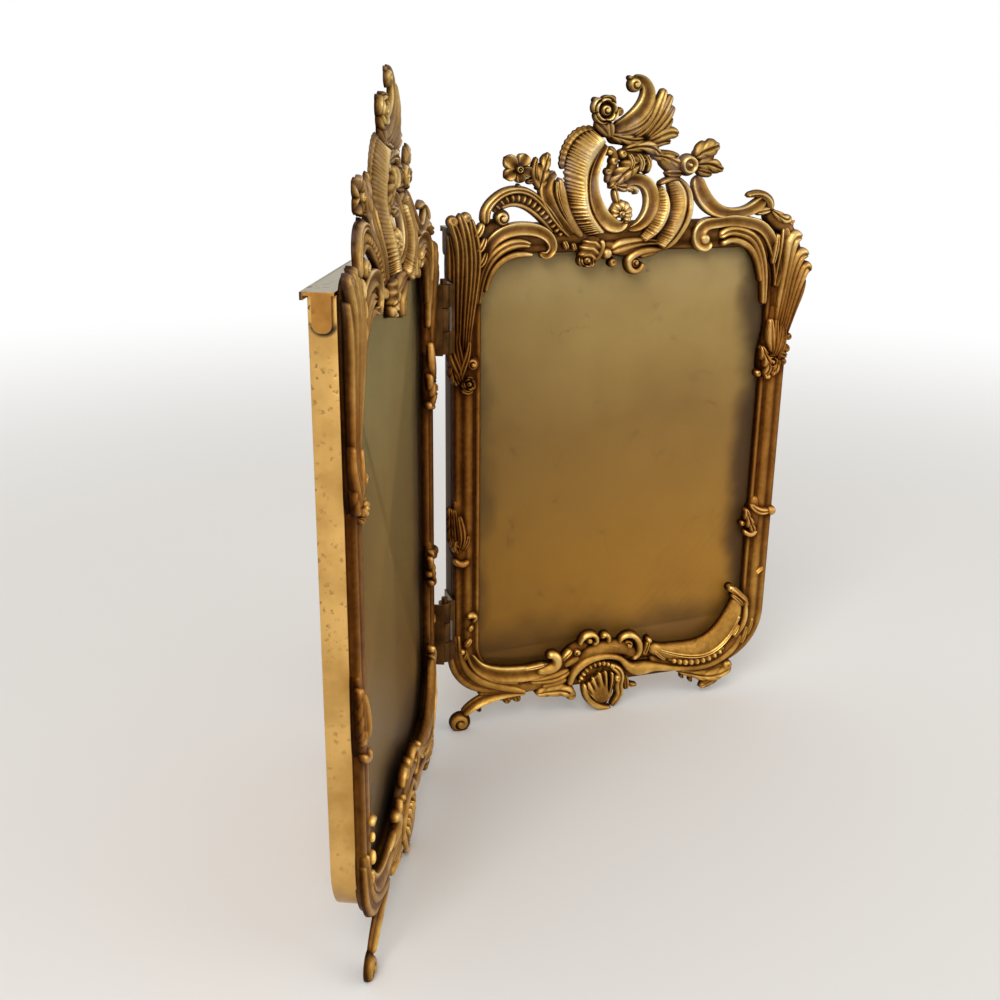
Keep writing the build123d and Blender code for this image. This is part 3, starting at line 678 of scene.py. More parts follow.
    drop = Carving("crest_drop", "crest", parts=(
        Frond(
            ((-14.4, 179.8, 2.6, 6.2), (-15.6, 176.8, 3.9, 7), (-16.8, 173.8, 4.1, 7.2),
             (-17.5, 171.2, 3.1, 6.4), (-17.8, 169.2, 1.6, 5)),
            ribs=5, depth=0.26, scallop=0.14, lean=0.5,
        ),
        Rosebud(-18, 171.9, 2.7, 7.8, petals=4),
        band(
            (-12.6, 178.8, 1.2, 5.8), (-12.2, 175.8, 1.3, 6.2), (-13.4, 172.6, 1.1, 5.6),
            (-15.2, 170.4, 0.8, 5),
        ),
        band((-12, 176.4, 1.6, 4.8), (-6, 175.2, 2.6, 5), (0, 174.6, 2.4, 5), (6, 175, 1.6, 4.8)),
        Bloom(-10.5, 173.8, 2.1, 6.8),
        blade(
            (-9.4, 174.2, 1.5, 5.4), (-5.6, 175.8, 2.6, 6.2), (-1.2, 176.8, 2.3, 6.2), (4, 177.3, 1.7, 6),
            (8.6, 176.8, 1.1, 5.6), (12, 175.8, 0.6, 5),
        ),
        band(
            (11.2, 174.8, 0.6, 4.8), (7.4, 174.5, 1.3, 5.6), (3.4, 174.3, 1.6, 6.2), (0, 173.3, 1.6, 6.4),
            (-2.3, 171.1, 1.5, 6.2), (-1.8, 168.6, 1.4, 6), (0.5, 167.5, 1.3, 5.8), (2.6, 168.8, 1.1, 5.6),
            (2.7, 170.6, 0.8, 5.4),
        ),
        Bloom(0, 170.4, 1.8, 6.2, Head.COIL),
        band((1.4, 172.4, 1, 5.6), (5, 173, 1, 5.4), (8.8, 173.9, 0.5, 4.6)),
        Bloom(-7.8, 170.6, 1.7, 5.2, Head.CUP),
    ))
    shoulders = Carving("crest_shoulders", "crest", parts=(
        scroll(
            (-54.6, 166, 1.3, 5), (-53.4, 172.4, 1.7, 5.2), (-50.4, 178.4, 2.1, 5.8),
            (-45.4, 181.6, 2.3, 6.2), (-39.8, 182.4, 2.3, 6.4), (-34.2, 181.4, 2.2, 6.4),
            (-30.5, 178.6, 1.9, 6.2), (-29.7, 175.6, 1.6, 5.8), (-31.6, 173.6, 1.3, 5.6),
            (-33.8, 174.3, 0.9, 5.2),
        ),
        blade(
            (-55, 158, 1.2, 4.8), (-53.8, 166, 1.6, 5.2), (-51, 172.4, 1.9, 5.6), (-46.4, 176.4, 2.1, 6),
            (-41, 177.8, 1.9, 6), (-36.8, 177, 1.2, 5.4),
        ),
        band(
            (-52.6, 162, 0.9, 4.8), (-50.2, 168.6, 1.3, 5.2), (-45.8, 172.8, 1.4, 5.4),
            (-40.2, 174.2, 1.3, 5.4), (-36, 173.8, 0.8, 5),
        ),
        scroll(
            (56, 160, 1.4, 5), (55, 167.6, 1.8, 5.2), (52.2, 175.4, 2.2, 5.8), (47.4, 181, 2.3, 6.2),
            (41, 183, 2.2, 6.4), (35, 183.6, 2.1, 6.4), (29.8, 183, 2, 6.2), (25.8, 182.4, 2.3, 6.4),
            (23.4, 179.8, 2.6, 6.6), (23.8, 176.8, 2.7, 6.8), (26.2, 175.6, 2.3, 6.6), (28.2, 177, 1.4, 6),
        ),
        Bloom(25.6, 177.6, 2.2, 6.4),
        blade(
            (50.9, 154, 1.2, 4.8), (50, 164, 1.7, 5.4), (47.9, 172, 2.1, 5.8), (44, 177.6, 2.3, 6.2),
            (39, 179.8, 2.2, 6.4), (34.4, 180, 2, 6.4), (31, 178, 1.5, 6),
        ),
        band(
            (49, 162, 0.9, 4.8), (47.2, 168.6, 1.2, 5.2), (44, 173.8, 1.4, 5.6), (39.8, 176.4, 1.5, 5.8),
            (35.6, 177, 1.4, 5.8), (32.2, 175.4, 1, 5.4),
        ),
        blade((52.8, 168, 0.9, 5.4), (53.6, 174.2, 1.2, 6), (54.2, 179, 0.8, 5.2)),
    ))
    left_plumes = Carving("crest_left_plumes", "crest", parts=(
        ground((-62, 140, 2.4, 3.2), (-61.4, 160, 3.8, 3.6), (-60.4, 176, 4.9, 4), (-60.6, 185.6, 3.6, 3.8)),
        ground((-56, 176, 3, 3.4), (-52, 181, 3.4, 3.6), (-45, 183, 2.6, 3.4)),
        blade(
            (-63, 141, 1, 4.2), (-64, 156, 1.5, 5), (-64.2, 168, 1.9, 5.4), (-64.4, 176, 1.6, 5.2),
            (-65, 181, 0.8, 4.4),
        ),
        blade(
            (-61.6, 141, 1, 4.2), (-61.6, 157, 1.6, 5.2), (-61.4, 170, 2.1, 6), (-62.2, 180, 2.1, 6.2),
            (-64.4, 186.2, 1.3, 5),
        ),
        blade(
            (-59.8, 141, 1, 4.2), (-59.2, 156, 1.5, 5.4), (-58.6, 167, 2, 6.2), (-58.8, 176, 2.2, 6.6),
            (-60, 183, 2, 6.4), (-61.2, 187.6, 1.2, 5),
        ),
        blade(
            (-58.4, 143, 0.9, 4.2), (-57, 157, 1.4, 5.4), (-56, 166.6, 1.8, 6.2), (-55.8, 174, 2, 6.6),
            (-56.8, 181, 1.9, 6.4), (-57.6, 186, 1.1, 5),
        ),
        blade((-57, 179.4, 0.9, 6), (-55.2, 181.4, 1.5, 6.8), (-53.6, 184.6, 0.9, 5.6)),
        blade((-56.4, 174.6, 0.9, 6), (-54.4, 176.8, 1.5, 6.8), (-52.8, 180.2, 0.9, 5.6)),
        blade((-55.8, 170, 0.9, 6), (-53.9, 172.2, 1.4, 6.6), (-52.4, 175.6, 0.8, 5.4)),
        Bloom(-63.4, 184.8, 2.1, 5.6, Head.CUP, turn=2),
        Bloom(-59, 186, 1.9, 5.8, Head.CUP),
    ))
    right_plumes = Carving("crest_right_plumes", "crest", parts=(
        scroll((55, 160, 1, 5.2), (56.2, 168, 1.7, 5.8), (57, 175.6, 2.1, 6.4), (57, 181, 1.2, 5.2)),
        ground(
            (58, 144, 3, 3.4), (60.4, 156, 4.4, 3.8), (62, 165, 4.6, 4), (60.6, 176, 3.4, 4),
            (57.4, 182.4, 2.6, 3.8),
        ),
        blade(
            (56.6, 144, 1, 4.2), (58, 160, 2, 5.6), (59, 171, 2.6, 6.4), (60.9, 177.2, 2.8, 6.4),
            (64.5, 177.3, 1.9, 5),
        ),
        blade(
            (58.4, 143, 1, 4.2), (60.2, 157, 1.9, 5.4), (61.6, 166.6, 2.5, 6.2), (64.2, 171.3, 2.6, 6.2),
            (67.7, 170.8, 1.6, 4.8),
        ),
        blade(
            (60, 142, 1, 4.2), (62.4, 155, 1.8, 5.4), (64.4, 162.6, 2.3, 6), (66.8, 166.8, 2.3, 5.8),
            (69, 164.8, 1.5, 4.4),
        ),
        blade((61.4, 143, 0.9, 4), (64, 153.4, 1.5, 4.8), (65.8, 160, 1.6, 5), (67, 163, 0.9, 4)),
    ))
    carvings = (shell, finial, heart, right_scrolls, left_scrolls, drop, shoulders, left_plumes, right_plumes)


class Apron:
    """The carved work under the opening, down to the feet."""

    sill = Carving("apron_sill", "apron", parts=(
        scroll(
            (-57.4, 31.6, 1.4, 5), (-53.8, 26.2, 2.3, 5.4), (-48.4, 23.1, 3, 5.8), (-42, 21.7, 3.3, 6),
            (-35.4, 21.3, 3.3, 6), (-29.4, 21.9, 3, 6), (-25.8, 23.6, 2.2, 5.8),
        ),
        band(
            (-62, 40, 1.9, 3.8), (-61.6, 29.4, 2.4, 4.2), (-58.4, 22.6, 2.5, 4.4), (-52, 18.2, 2.6, 4.6),
            (-44, 16.8, 2.6, 4.6), (-37, 15.8, 2.2, 4.4),
        ),
        band((-30, 19.4, 1.8, 4.4), (-24, 22, 3, 5), (-19, 25, 2.6, 5)),
        band(
            (-32, 21.8, 1.6, 5.8), (-27.4, 21.8, 2.3, 6.4), (-24.3, 23.6, 2.4, 7), (-24.3, 26.4, 2.2, 7.2),
            (-26.4, 27.8, 1.7, 6.8), (-27.9, 26.6, 1.1, 6.2),
        ),
        band((-23.6, 20.8, 2.4, 4.6), (-20, 24.4, 3.2, 5), (-15.6, 28.4, 2.8, 4.8), (-11, 30, 1.8, 4.6)),
        blade((-37, 23.6, 0.7, 5.6), (-32.6, 23.9, 1.1, 6.2), (-28.6, 24.6, 0.8, 6)),
        band(
            (-61.6, 40, 0.9, 4.4), (-60.4, 30, 1.5, 5), (-57, 23.8, 1.9, 5.4), (-51.4, 19.6, 1.9, 5.6),
            (-45, 17, 1.9, 5.6), (-39.6, 15.2, 1.6, 5.4), (-35.4, 13.6, 0.9, 4.8),
        ),
        band(
            (-59, 34, 0.8, 4.6), (-56.4, 26.6, 1.1, 5), (-51.6, 21.9, 1.2, 5.2), (-45, 19.1, 1.2, 5.2),
            (-38.4, 18, 1, 5),
        ),
        band(
            (-64, 38, 0.9, 4), (-63.8, 29.4, 1.3, 4.4), (-61.4, 23.4, 1.5, 4.6), (-57.2, 19.2, 1.6, 4.8),
            (-51.6, 16.8, 1.5, 4.8), (-45.6, 15.6, 1.1, 4.8),
        ),
        band((-59, 46.4, 0.8, 5.2), (-57.4, 47.5, 1.2, 6), (-55.4, 46.7, 1, 5.6), (-56.8, 44.6, 0.7, 5)),
        blade((-58.6, 41.4, 0.7, 5.2), (-57.2, 42.6, 1, 5.6), (-56.4, 43.6, 0.6, 5)),
        blade((-59.8, 35.4, 1, 5.4), (-58.2, 37, 1.3, 6), (-57, 38.6, 0.7, 5.2)),
        Bloom(-60.4, 33.6, 1.3, 5.8),
        blade((-60.4, 29.6, 0.9, 5.2), (-59.2, 31.5, 1, 5.6), (-58.2, 33, 0.6, 5)),
        band(
            (12.8, 26, 2.2, 6), (18, 23.4, 3, 6.4), (23.4, 22.3, 3.7, 6.6), (29.4, 21.7, 4.2, 6.8),
            (35.4, 22, 4.6, 6.8), (40.4, 24, 4.8, 6.8), (44.6, 28, 4.6, 6.6), (47.6, 32.8, 4.2, 6.4),
            (49, 37.4, 3.3, 6), (49.2, 42, 1.8, 5.6),
        ),
        blade(
            (17, 24.6, 0.8, 7.2), (28, 20.8, 1.2, 7.6), (38, 20.6, 1.2, 7.6), (46, 26.6, 1, 7.4),
            (50.4, 34.6, 0.7, 6.6),
        ),
        band(
            (14, 20.4, 1.8, 4.8), (24, 17.6, 2.4, 4.8), (36, 16, 2.6, 4.8), (46, 19.6, 2.6, 4.8),
            (52, 26.6, 2.2, 4.6), (53.6, 36, 1.6, 4.4),
        ),
        Frond(
            ((21.4, 19.6, 1.3, 6.6), (27.4, 18, 1.7, 7.2), (34, 17.5, 1.8, 7.2), (40.2, 18.8, 1.7, 7.2),
             (45, 21.6, 1.2, 6.8)),
            ribs=10, depth=0.3, scallop=0.2,
        ),
        blade((14.8, 24.6, 0.7, 6.8), (17.6, 21.7, 0.9, 7.2), (20.2, 19.9, 0.6, 6.6)),
        Frond(
            ((45.4, 46.4, 1, 6.2), (47.4, 45.2, 1.5, 6.8), (50.2, 42.6, 1.5, 6.6), (53.2, 39.8, 1.3, 6),
             (54.6, 37.4, 0.8, 5.2)),
            Section.FLUTED, flutes=2,
        ),
        Bloom(46.2, 46, 1.6, 6.8, Head.COIL),
        blade((46.8, 43.2, 0.8, 6.2), (49.8, 40.6, 1.1, 6.6), (52.2, 38, 0.7, 5.8)),
        band((53.2, 40, 1, 5.2), (53.7, 34, 1.3, 5.6), (52, 28.2, 1.3, 5.6), (49.2, 24.4, 0.9, 5.2)),
        blade((47.6, 26.2, 0.8, 6.8), (49.3, 28.6, 1.2, 7), (50.6, 30.8, 0.6, 6)),
        blade((52.6, 21.4, 0.9, 5), (53.8, 25.4, 1.2, 5.6), (54.8, 29, 0.7, 5)),
        blade((55, 24.6, 0.8, 4.6), (56.4, 28.4, 1, 5), (57.2, 32, 0.6, 4.6)),
    ))
    cartouche = Carving("apron_cartouche", "apron", level_shift=-0.08, parts=(
        band(
            (-18.8, 20.4, 2.2, 5.2), (-13.6, 24.4, 2.9, 6), (-8, 27, 3.3, 6.4), (-1.4, 27.4, 3.3, 6.4),
            (4, 26, 3.1, 6.2), (8.2, 22.6, 2.3, 5.6),
        ),
        band(
            (-18.8, 14.2, 1.4, 6.4), (-17.8, 18.6, 1.8, 7), (-14.4, 22.6, 2, 7.4), (-9, 24.8, 1.9, 7.4),
            (-3.6, 24.6, 1.6, 7), (1.4, 22.6, 1.5, 6.6), (5, 18.8, 2.2, 6.6), (9.6, 17, 3, 6.6),
            (15, 17, 2.4, 6.4), (21.6, 15.8, 1.7, 6), (27.6, 14.7, 1.5, 5.8), (33.6, 14, 1.5, 5.6),
            (39.2, 14.4, 1.5, 5.6), (43.8, 16, 1.5, 5.6), (47.6, 18.4, 1.5, 5.6), (50.6, 21.6, 1.5, 5.4),
            (52.4, 26, 1.2, 5.2),
        ),
        Frond(
            ((-14.8, 15, 1, 6.2), (-13.4, 18.4, 1.3, 6.6), (-10.6, 21.2, 1.4, 6.8), (-6.8, 22, 1.4, 6.8),
             (-3, 20.8, 1.2, 6.6), (-0.8, 18.8, 0.9, 6.2)),
            ribs=10, depth=0.34, scallop=0.34,
        ),
        band(
            (-15.2, 30, 0.9, 6), (-14.2, 33, 1.1, 6.6), (-11.4, 34.4, 1.3, 7), (-9, 33.2, 1.2, 6.8),
            (-8.6, 30.8, 1, 6.4), (-10.4, 29.8, 0.8, 6),
        ),
        Bloom(-11.3, 31.7, 1.4, 6.4),
        band((-6.8, 31.8, 0.9, 6), (-5, 33.5, 1.2, 6.8), (-3.7, 32, 1.1, 6.8), (-4.4, 30, 0.8, 6.4)),
        band(
            (0.4, 28.6, 0.9, 5.8), (1.6, 31, 1.1, 6.4), (4.6, 32.1, 1.4, 7), (7.4, 30.5, 1.5, 7.2),
            (9, 27, 1.6, 7), (8.5, 23.6, 1.4, 6.6), (6.2, 21.6, 1, 6.2),
        ),
        Bloom(4.4, 28.2, 2.2, 6.8, Head.COIL, turn=2),
        band((-3.4, 29, 0.9, 6.2), (-1.2, 28.4, 1.2, 6.4), (1.6, 27.2, 1.1, 6.2)),
        blade((11, 22.4, 1.2, 5.8), (11.9, 26, 1.4, 6.6), (12.7, 28.6, 1, 6.4)),
        Bloom(12.8, 28.8, 1.3, 6.8),
        blade((-22.8, 24.8, 1, 6), (-20.6, 27, 1.5, 6.6), (-18.2, 29, 1.1, 6.2)),
        Bloom(-16.2, 27.8, 1.8, 6.8, Head.COIL),
        band((-21.6, 22.4, 1.3, 5.8), (-18, 24.2, 1.7, 6.2), (-15, 25.8, 1.3, 6.2)),
    ))
    shell = Carving("apron_shell", "apron", parts=(
        band(
            (-6.8, 20, 4.4, 4), (-6.8, 15, 6, 4.4), (-6.2, 10.4, 6, 4.6), (-4.8, 6, 4.6, 4.4),
            (-3, 2.8, 2.4, 4),
        ),
        Fan(
            ((-7.2, 5.2), (-5.2, 4.6), (-3.4, 5), (-1.8, 6.4)),
            ((-12.4, 11.4), (-10.8, 15.2), (-7.4, 18), (-3.2, 18), (-0.2, 15.2)),
            (4.8, 5.8, 6.6, 7.2, 6.8), 6, depth=0.26, scallop=1.4,
        ),
        band(
            (-12.6, 14, 1.1, 5.6), (-11.4, 8.8, 1.5, 6.2), (-8.4, 4.8, 1.6, 6), (-4.2, 2.4, 1.3, 5.4),
            (-0.8, 1.6, 0.9, 4.4),
        ),
        blade(
            (-2.6, 20.4, 1.4, 6.4), (0, 18.8, 1.8, 7), (1.6, 15.8, 2, 7), (1.4, 11.6, 2.1, 6.6),
            (2, 7.8, 1.8, 6), (0.6, 4.4, 1.4, 5.2), (-0.8, 2, 1, 4.4),
        ),
        Bloom(-1.8, 20.3, 1.5, 6.8, Head.COIL),
        Bloom(0.4, 15, 1.7, 7.6, Head.CUP),
        blade((3.8, 15.6, 1.1, 5.6), (4.6, 11.6, 1.5, 5.6), (5, 8.4, 1, 4.8)),
        blade((5.6, 11, 0.9, 4.6), (8, 9.8, 1.1, 4.4), (9.8, 9.8, 0.5, 3.8)),
    ))
    left_foot = Carving("apron_left_foot", "apron", parts=(
        Frond(
            ((-35.4, 13.2, 0.9, 4.8), (-40.6, 14.2, 1.7, 5.4), (-46.4, 14.2, 2.1, 5.8), (-52, 12.8, 2.1, 5.8),
             (-57, 10.4, 1.8, 5.6), (-60, 7.8, 1.4, 5.2)),
            Section.ROLLED,
        ),
        Bloom(-60.8, 4.5, 4, 5.6, Head.COIL, turn=1.2),
        blade((-53.8, 10.8, 1, 4.6), (-53.6, 8.8, 1.2, 4.2), (-52.8, 7.6, 0.6, 3.8)),
        band((-48, 12.8, 1, 4), (-43, 12.2, 1.8, 4.2), (-38.4, 12.2, 1.6, 4.2)),
        blade((-43.6, 12, 1.4, 4.8), (-42.4, 10.6, 1.6, 4.4), (-41.6, 9.6, 0.9, 4)),
        blade((-39.8, 12.6, 1.5, 4.8), (-38.7, 10.6, 1.6, 4.4), (-38.4, 9.4, 0.9, 4)),
        band(
            (-54, 15.2, 1.2, 4), (-47, 15.2, 2.4, 4.4), (-40, 15, 2.6, 4.6), (-33, 15.6, 2.6, 4.6),
            (-25, 16.6, 2.8, 4.8), (-19, 17, 2.4, 4.8),
        ),
        leaf(
            ((-32, 12.2, 1.4, 5), (-27.8, 12.9, 2.9, 6), (-22.8, 12.9, 3.3, 6.4), (-18.8, 11.2, 2.7, 6),
             (-16.8, 8.6, 1.4, 5)),
            3, 0.08, 0.2, 0.6,
        ),
        Bloom(-17.4, 9.4, 2.1, 5.6, Head.CUP),
        blade((-34.4, 17.8, 1.2, 5.2), (-28, 17.8, 2.2, 5.8), (-22.6, 18.8, 2.6, 6.2), (-18.6, 20.8, 1.6, 6)),
        band((-30, 15, 1.1, 5.2), (-24, 15.8, 1.6, 5.9), (-19.6, 17.4, 1.2, 5.9)),
    ))
    right_foot = Carving("apron_right_foot", "apron", parts=(
        band(
            (26, 13.6, 1.2, 4), (32, 12.4, 2.4, 4.4), (39, 11, 3.4, 4.6), (46, 11.8, 3.2, 4.6),
            (50.4, 13, 1.6, 4.2),
        ),
        leaf(
            ((27, 13, 1.2, 4.8), (33, 11.4, 2.2, 5.4), (39, 9.8, 3, 5.8), (45, 10.2, 3.1, 5.8),
             (50, 12, 1.6, 4.8)),
            4, 0.12, 0.22,
        ),
        leaf(((44.6, 8.8, 2, 5), (40.4, 6.6, 2.5, 4.8), (36.6, 4.4, 1.3, 4)), 2.5, 0.14, 0.22),
        Bloom(47.4, 12.8, 2.2, 5.8, Head.CUP),
        blade((28.6, 12, 0.8, 4.4), (28.8, 10.4, 0.9, 4), (29.6, 9.2, 0.5, 3.4)),
        blade((32.4, 10, 0.9, 4.4), (32.6, 8.4, 0.9, 4), (33.4, 7, 0.5, 3.4)),
    ))
    carvings = (sill, cartouche, shell, left_foot, right_foot)


class SideKnots:
    """The leafy knots and the thorn on the side rails."""

    knots = Carving("side_leaf_knots", "side_knots", parts=(
        ground((-61.2, 154, 1.4, 3.2), (-61, 142, 3.6, 4), (-60.2, 134.6, 3.8, 4.4), (-59.6, 129.4, 2.2, 4)),
        ground((-62.4, 91, 1, 3.2), (-61.6, 81, 3.2, 4), (-60.8, 73, 3.6, 4.4), (-60.4, 67, 2.2, 4)),
        ground((55.8, 154, 1.4, 3.2), (55.8, 142, 3.8, 4.2), (55.4, 134, 4.6, 4.6), (53.8, 127.4, 2.6, 4)),
        ground((54.8, 82, 1.2, 3.2), (54.4, 74, 3.6, 4.4), (53.2, 67.6, 2.6, 4)),
        blade(
            (-64.6, 149, 1.1, 4.8), (-64.2, 142.6, 1.9, 5.4), (-62, 136.8, 1.8, 5.8),
            (-60.6, 132.6, 1.1, 5.2),
        ),
        blade((-62, 150, 0.9, 4.6), (-61.8, 144, 1.5, 5.2), (-60.8, 138.6, 1.5, 5.6), (-60.4, 134.4, 0.9, 5)),
        blade((-63.2, 88, 0.9, 4.6), (-62.8, 82, 1.4, 5.2), (-62.4, 76.6, 1.4, 5.4), (-62, 71.6, 0.9, 5)),
        leaf(((-63.6, 78, 1.1, 4.8), (-62.8, 74.8, 2, 5.4), (-61.2, 71.4, 1.6, 5.4)), 2.5, 0.2),
        blade((56.6, 149, 0.9, 4.8), (56.5, 144, 1.5, 5.6), (56.4, 139.4, 1.5, 5.8), (56, 135.4, 0.9, 5.2)),
        blade((60.4, 146, 0.7, 4.4), (60.4, 141.4, 1.2, 5), (59.4, 137, 1.3, 5.4), (58.2, 133.4, 0.8, 5)),
        leaf(((58.6, 134.6, 1, 5), (57.6, 131, 2, 6), (55.6, 128, 1.4, 5.4)), 2.5, 0.25),
        blade((-58, 146.6, 0.8, 5.2), (-58.8, 142, 1.4, 5.8), (-60.4, 137.4, 1.6, 6), (-61.6, 133, 1, 5.2)),
        leaf(((-63.8, 138.6, 1.4, 4.8), (-63.4, 134.8, 1.8, 5.4), (-61.6, 131.4, 1.3, 5.2)), 2.5, 0.25),
        Bloom(-57, 138.8, 2.3, 6.2, Head.COIL, turn=1),
        Rosebud(-58.4, 132.2, 2.3, 6.8, petals=4),
        blade((-60.8, 130.4, 0.9, 5.2), (-58.6, 129.2, 1.1, 5.6), (-56.6, 130, 0.8, 5)),
        leaf(
            ((-64.6, 88.6, 1.1, 4.4), (-64.6, 83, 1.6, 4.8), (-64.4, 77.6, 1.6, 5), (-63.4, 73.4, 1, 4.6)),
            4, 0.3,
        ),
        blade((-61.6, 85.6, 1, 5.2), (-60.8, 81, 1.7, 6), (-60.6, 76.6, 1.6, 6.2), (-61.6, 72.6, 1, 5.4)),
        blade((-58, 78.2, 0.8, 5.4), (-59, 75.4, 1.2, 6), (-60.4, 72.6, 1, 5.6)),
        band((-63.2, 69.6, 1, 5), (-61.6, 67.8, 1.4, 5.8), (-59.6, 67.6, 1.4, 6), (-58, 69, 0.9, 5.4)),
        Bloom(-62.6, 75.4, 1.6, 5.8, Head.CUP),
        blade((54.2, 149.2, 0.9, 5), (54.3, 145, 1.7, 6), (54.8, 140.4, 2, 6.2), (55.6, 136.4, 1.3, 5.6)),
        blade(
            (58.8, 147, 0.8, 4.6), (58.6, 142.6, 1.5, 5.4), (57.6, 138.4, 1.5, 5.8), (56.6, 134.8, 0.9, 5.2),
        ),
        leaf(
            ((51.4, 139.4, 1, 5), (52.6, 136, 2, 6.2), (54.2, 132, 2.2, 6.6), (53.2, 128, 1.3, 5.6)),
            3, 0.25,
        ),
        Rosebud(55.2, 133.6, 2.4, 7, petals=4),
        Bloom(62.4, 142, 1.4, 4.8, Head.CUP),
        blade((59, 140, 1, 5), (60.6, 141.4, 1.1, 5), (62.4, 142.4, 0.8, 4.4)),
        blade((58, 136.6, 1.2, 5.4), (60.4, 135.6, 1.6, 5.4), (62.4, 135, 1.1, 4.8)),
        Bloom(61.6, 137.8, 1.7, 5.2, Head.CUP, turn=1),
        Bloom(60.8, 133, 1.5, 5.2, Head.CUP, turn=4),
        Bloom(50.8, 129.2, 1.4, 5.4, Head.CUP),
        Bloom(54.4, 128.2, 1.4, 6, Head.CUP, turn=2),
        blade((52.4, 79, 0.9, 4.8), (54.4, 77, 1.6, 5.8), (57.6, 75.8, 1.7, 5.8), (60.6, 75.8, 1.3, 5)),
        Bloom(61.4, 75.6, 2, 5.4),
        leaf(((50.4, 77.6, 1, 5), (51.4, 74.2, 1.8, 5.8), (53, 70.6, 2, 6), (54.6, 67.4, 1.2, 5.2)), 3, 0.25),
        band((50.4, 69, 0.9, 5), (51.8, 67.4, 1.2, 5.8), (53.8, 67.4, 1.2, 6), (55.4, 68.8, 0.8, 5.4)),
        Bloom(49.6, 71.6, 1.2, 5, Head.CUP),
        blade((57, 50, 0.9, 4.4), (58.6, 51.6, 1.1, 4.6), (60.6, 52.6, 0.7, 4)),
    ))
    carvings = (knots,)


@dataclass(frozen=True)
class Moulding:
    """The fluted rail round the opening, carried along a rounded rectangle.

    Its back may lie so many millimetres deeper than the cresting's, up to the heights where that
    ends.
    """

    half_width: float = 53.0
    sill: float = 22.0
    top: float = 174.0
    corner: float = 12.0
    pitch: float = 0.9
    deeper: float = 2.0
    deeper_end: tuple[float, float] = (172.0, 177.0)
    profile: tuple = (
        (0.0, 0.0), (0.0, 1.3), (0.25, 2.0), (0.8, 2.5), (1.4, 2.45), (1.9, 2.0), (2.3, 1.95),
        (2.8, 2.35), (3.5, 2.95), (4.6, 3.35), (5.6, 3.2), (6.3, 2.85), (6.7, 2.7), (7.2, 2.8),
        (7.9, 3.0), (8.7, 2.95), (9.3, 2.65), (9.8, 2.0), (10.0, 1.2), (10.0, 0.0),
    )

    def shape(self) -> Shape:
        """Build the rail.

        Formula: the path is four quarter circles joined by straights, as one row of places and
        outward directions at an even pitch, and each ring is the profile laid out along its
        direction.
        """
        quarter = np.linspace(0.0, math.pi / 2, 19)
        reach_x = self.half_width - self.corner
        low, high = self.sill + self.corner, self.top - self.corner
        starts = np.array([-math.pi / 2, 0.0, math.pi / 2, math.pi])
        centres = np.array([[reach_x, low], [reach_x, high], [-reach_x, high], [-reach_x, low]])
        angles = (starts[:, None] + quarter[None, :]).ravel()
        middle = np.repeat(centres, len(quarter), axis=0)
        outward = np.stack([np.cos(angles), np.sin(angles)], axis=-1)
        rows = np.hstack([middle + self.corner * outward, outward])
        rows = np.vstack([rows, rows[:1]])
        travel = np.concatenate([[0.0], np.cumsum(np.hypot(*np.diff(rows[:, :2], axis=0).T))])
        at = np.arange(0.0, travel[-1], self.pitch)
        rim_x, rim_z, out_x, out_z = (np.interp(at, travel, column) for column in rows.T)
        size = np.hypot(out_x, out_z)
        outward = np.stack([out_x / size, out_z / size], axis=-1)
        rim = np.stack([rim_x, rim_z], axis=-1)
        profile = np.array(self.profile)
        flat = rim[:, None, :] + profile[None, :, :1] * outward[:, None, :]
        depth = np.broadcast_to(profile[None, :, 1:], flat.shape[:2] + (1,))
        tube = Shape.tube(np.concatenate([flat, depth], axis=-1)[:, ::-1], endless=True)
        over = smooth_step(*self.deeper_end, tube.points[:, 1])
        depth = np.maximum(tube.points[:, 2] - SET_BACK, CREST_BACK - self.deeper * (1 - over))
        return Shape(sink(tube.points, depth), tube.faces)


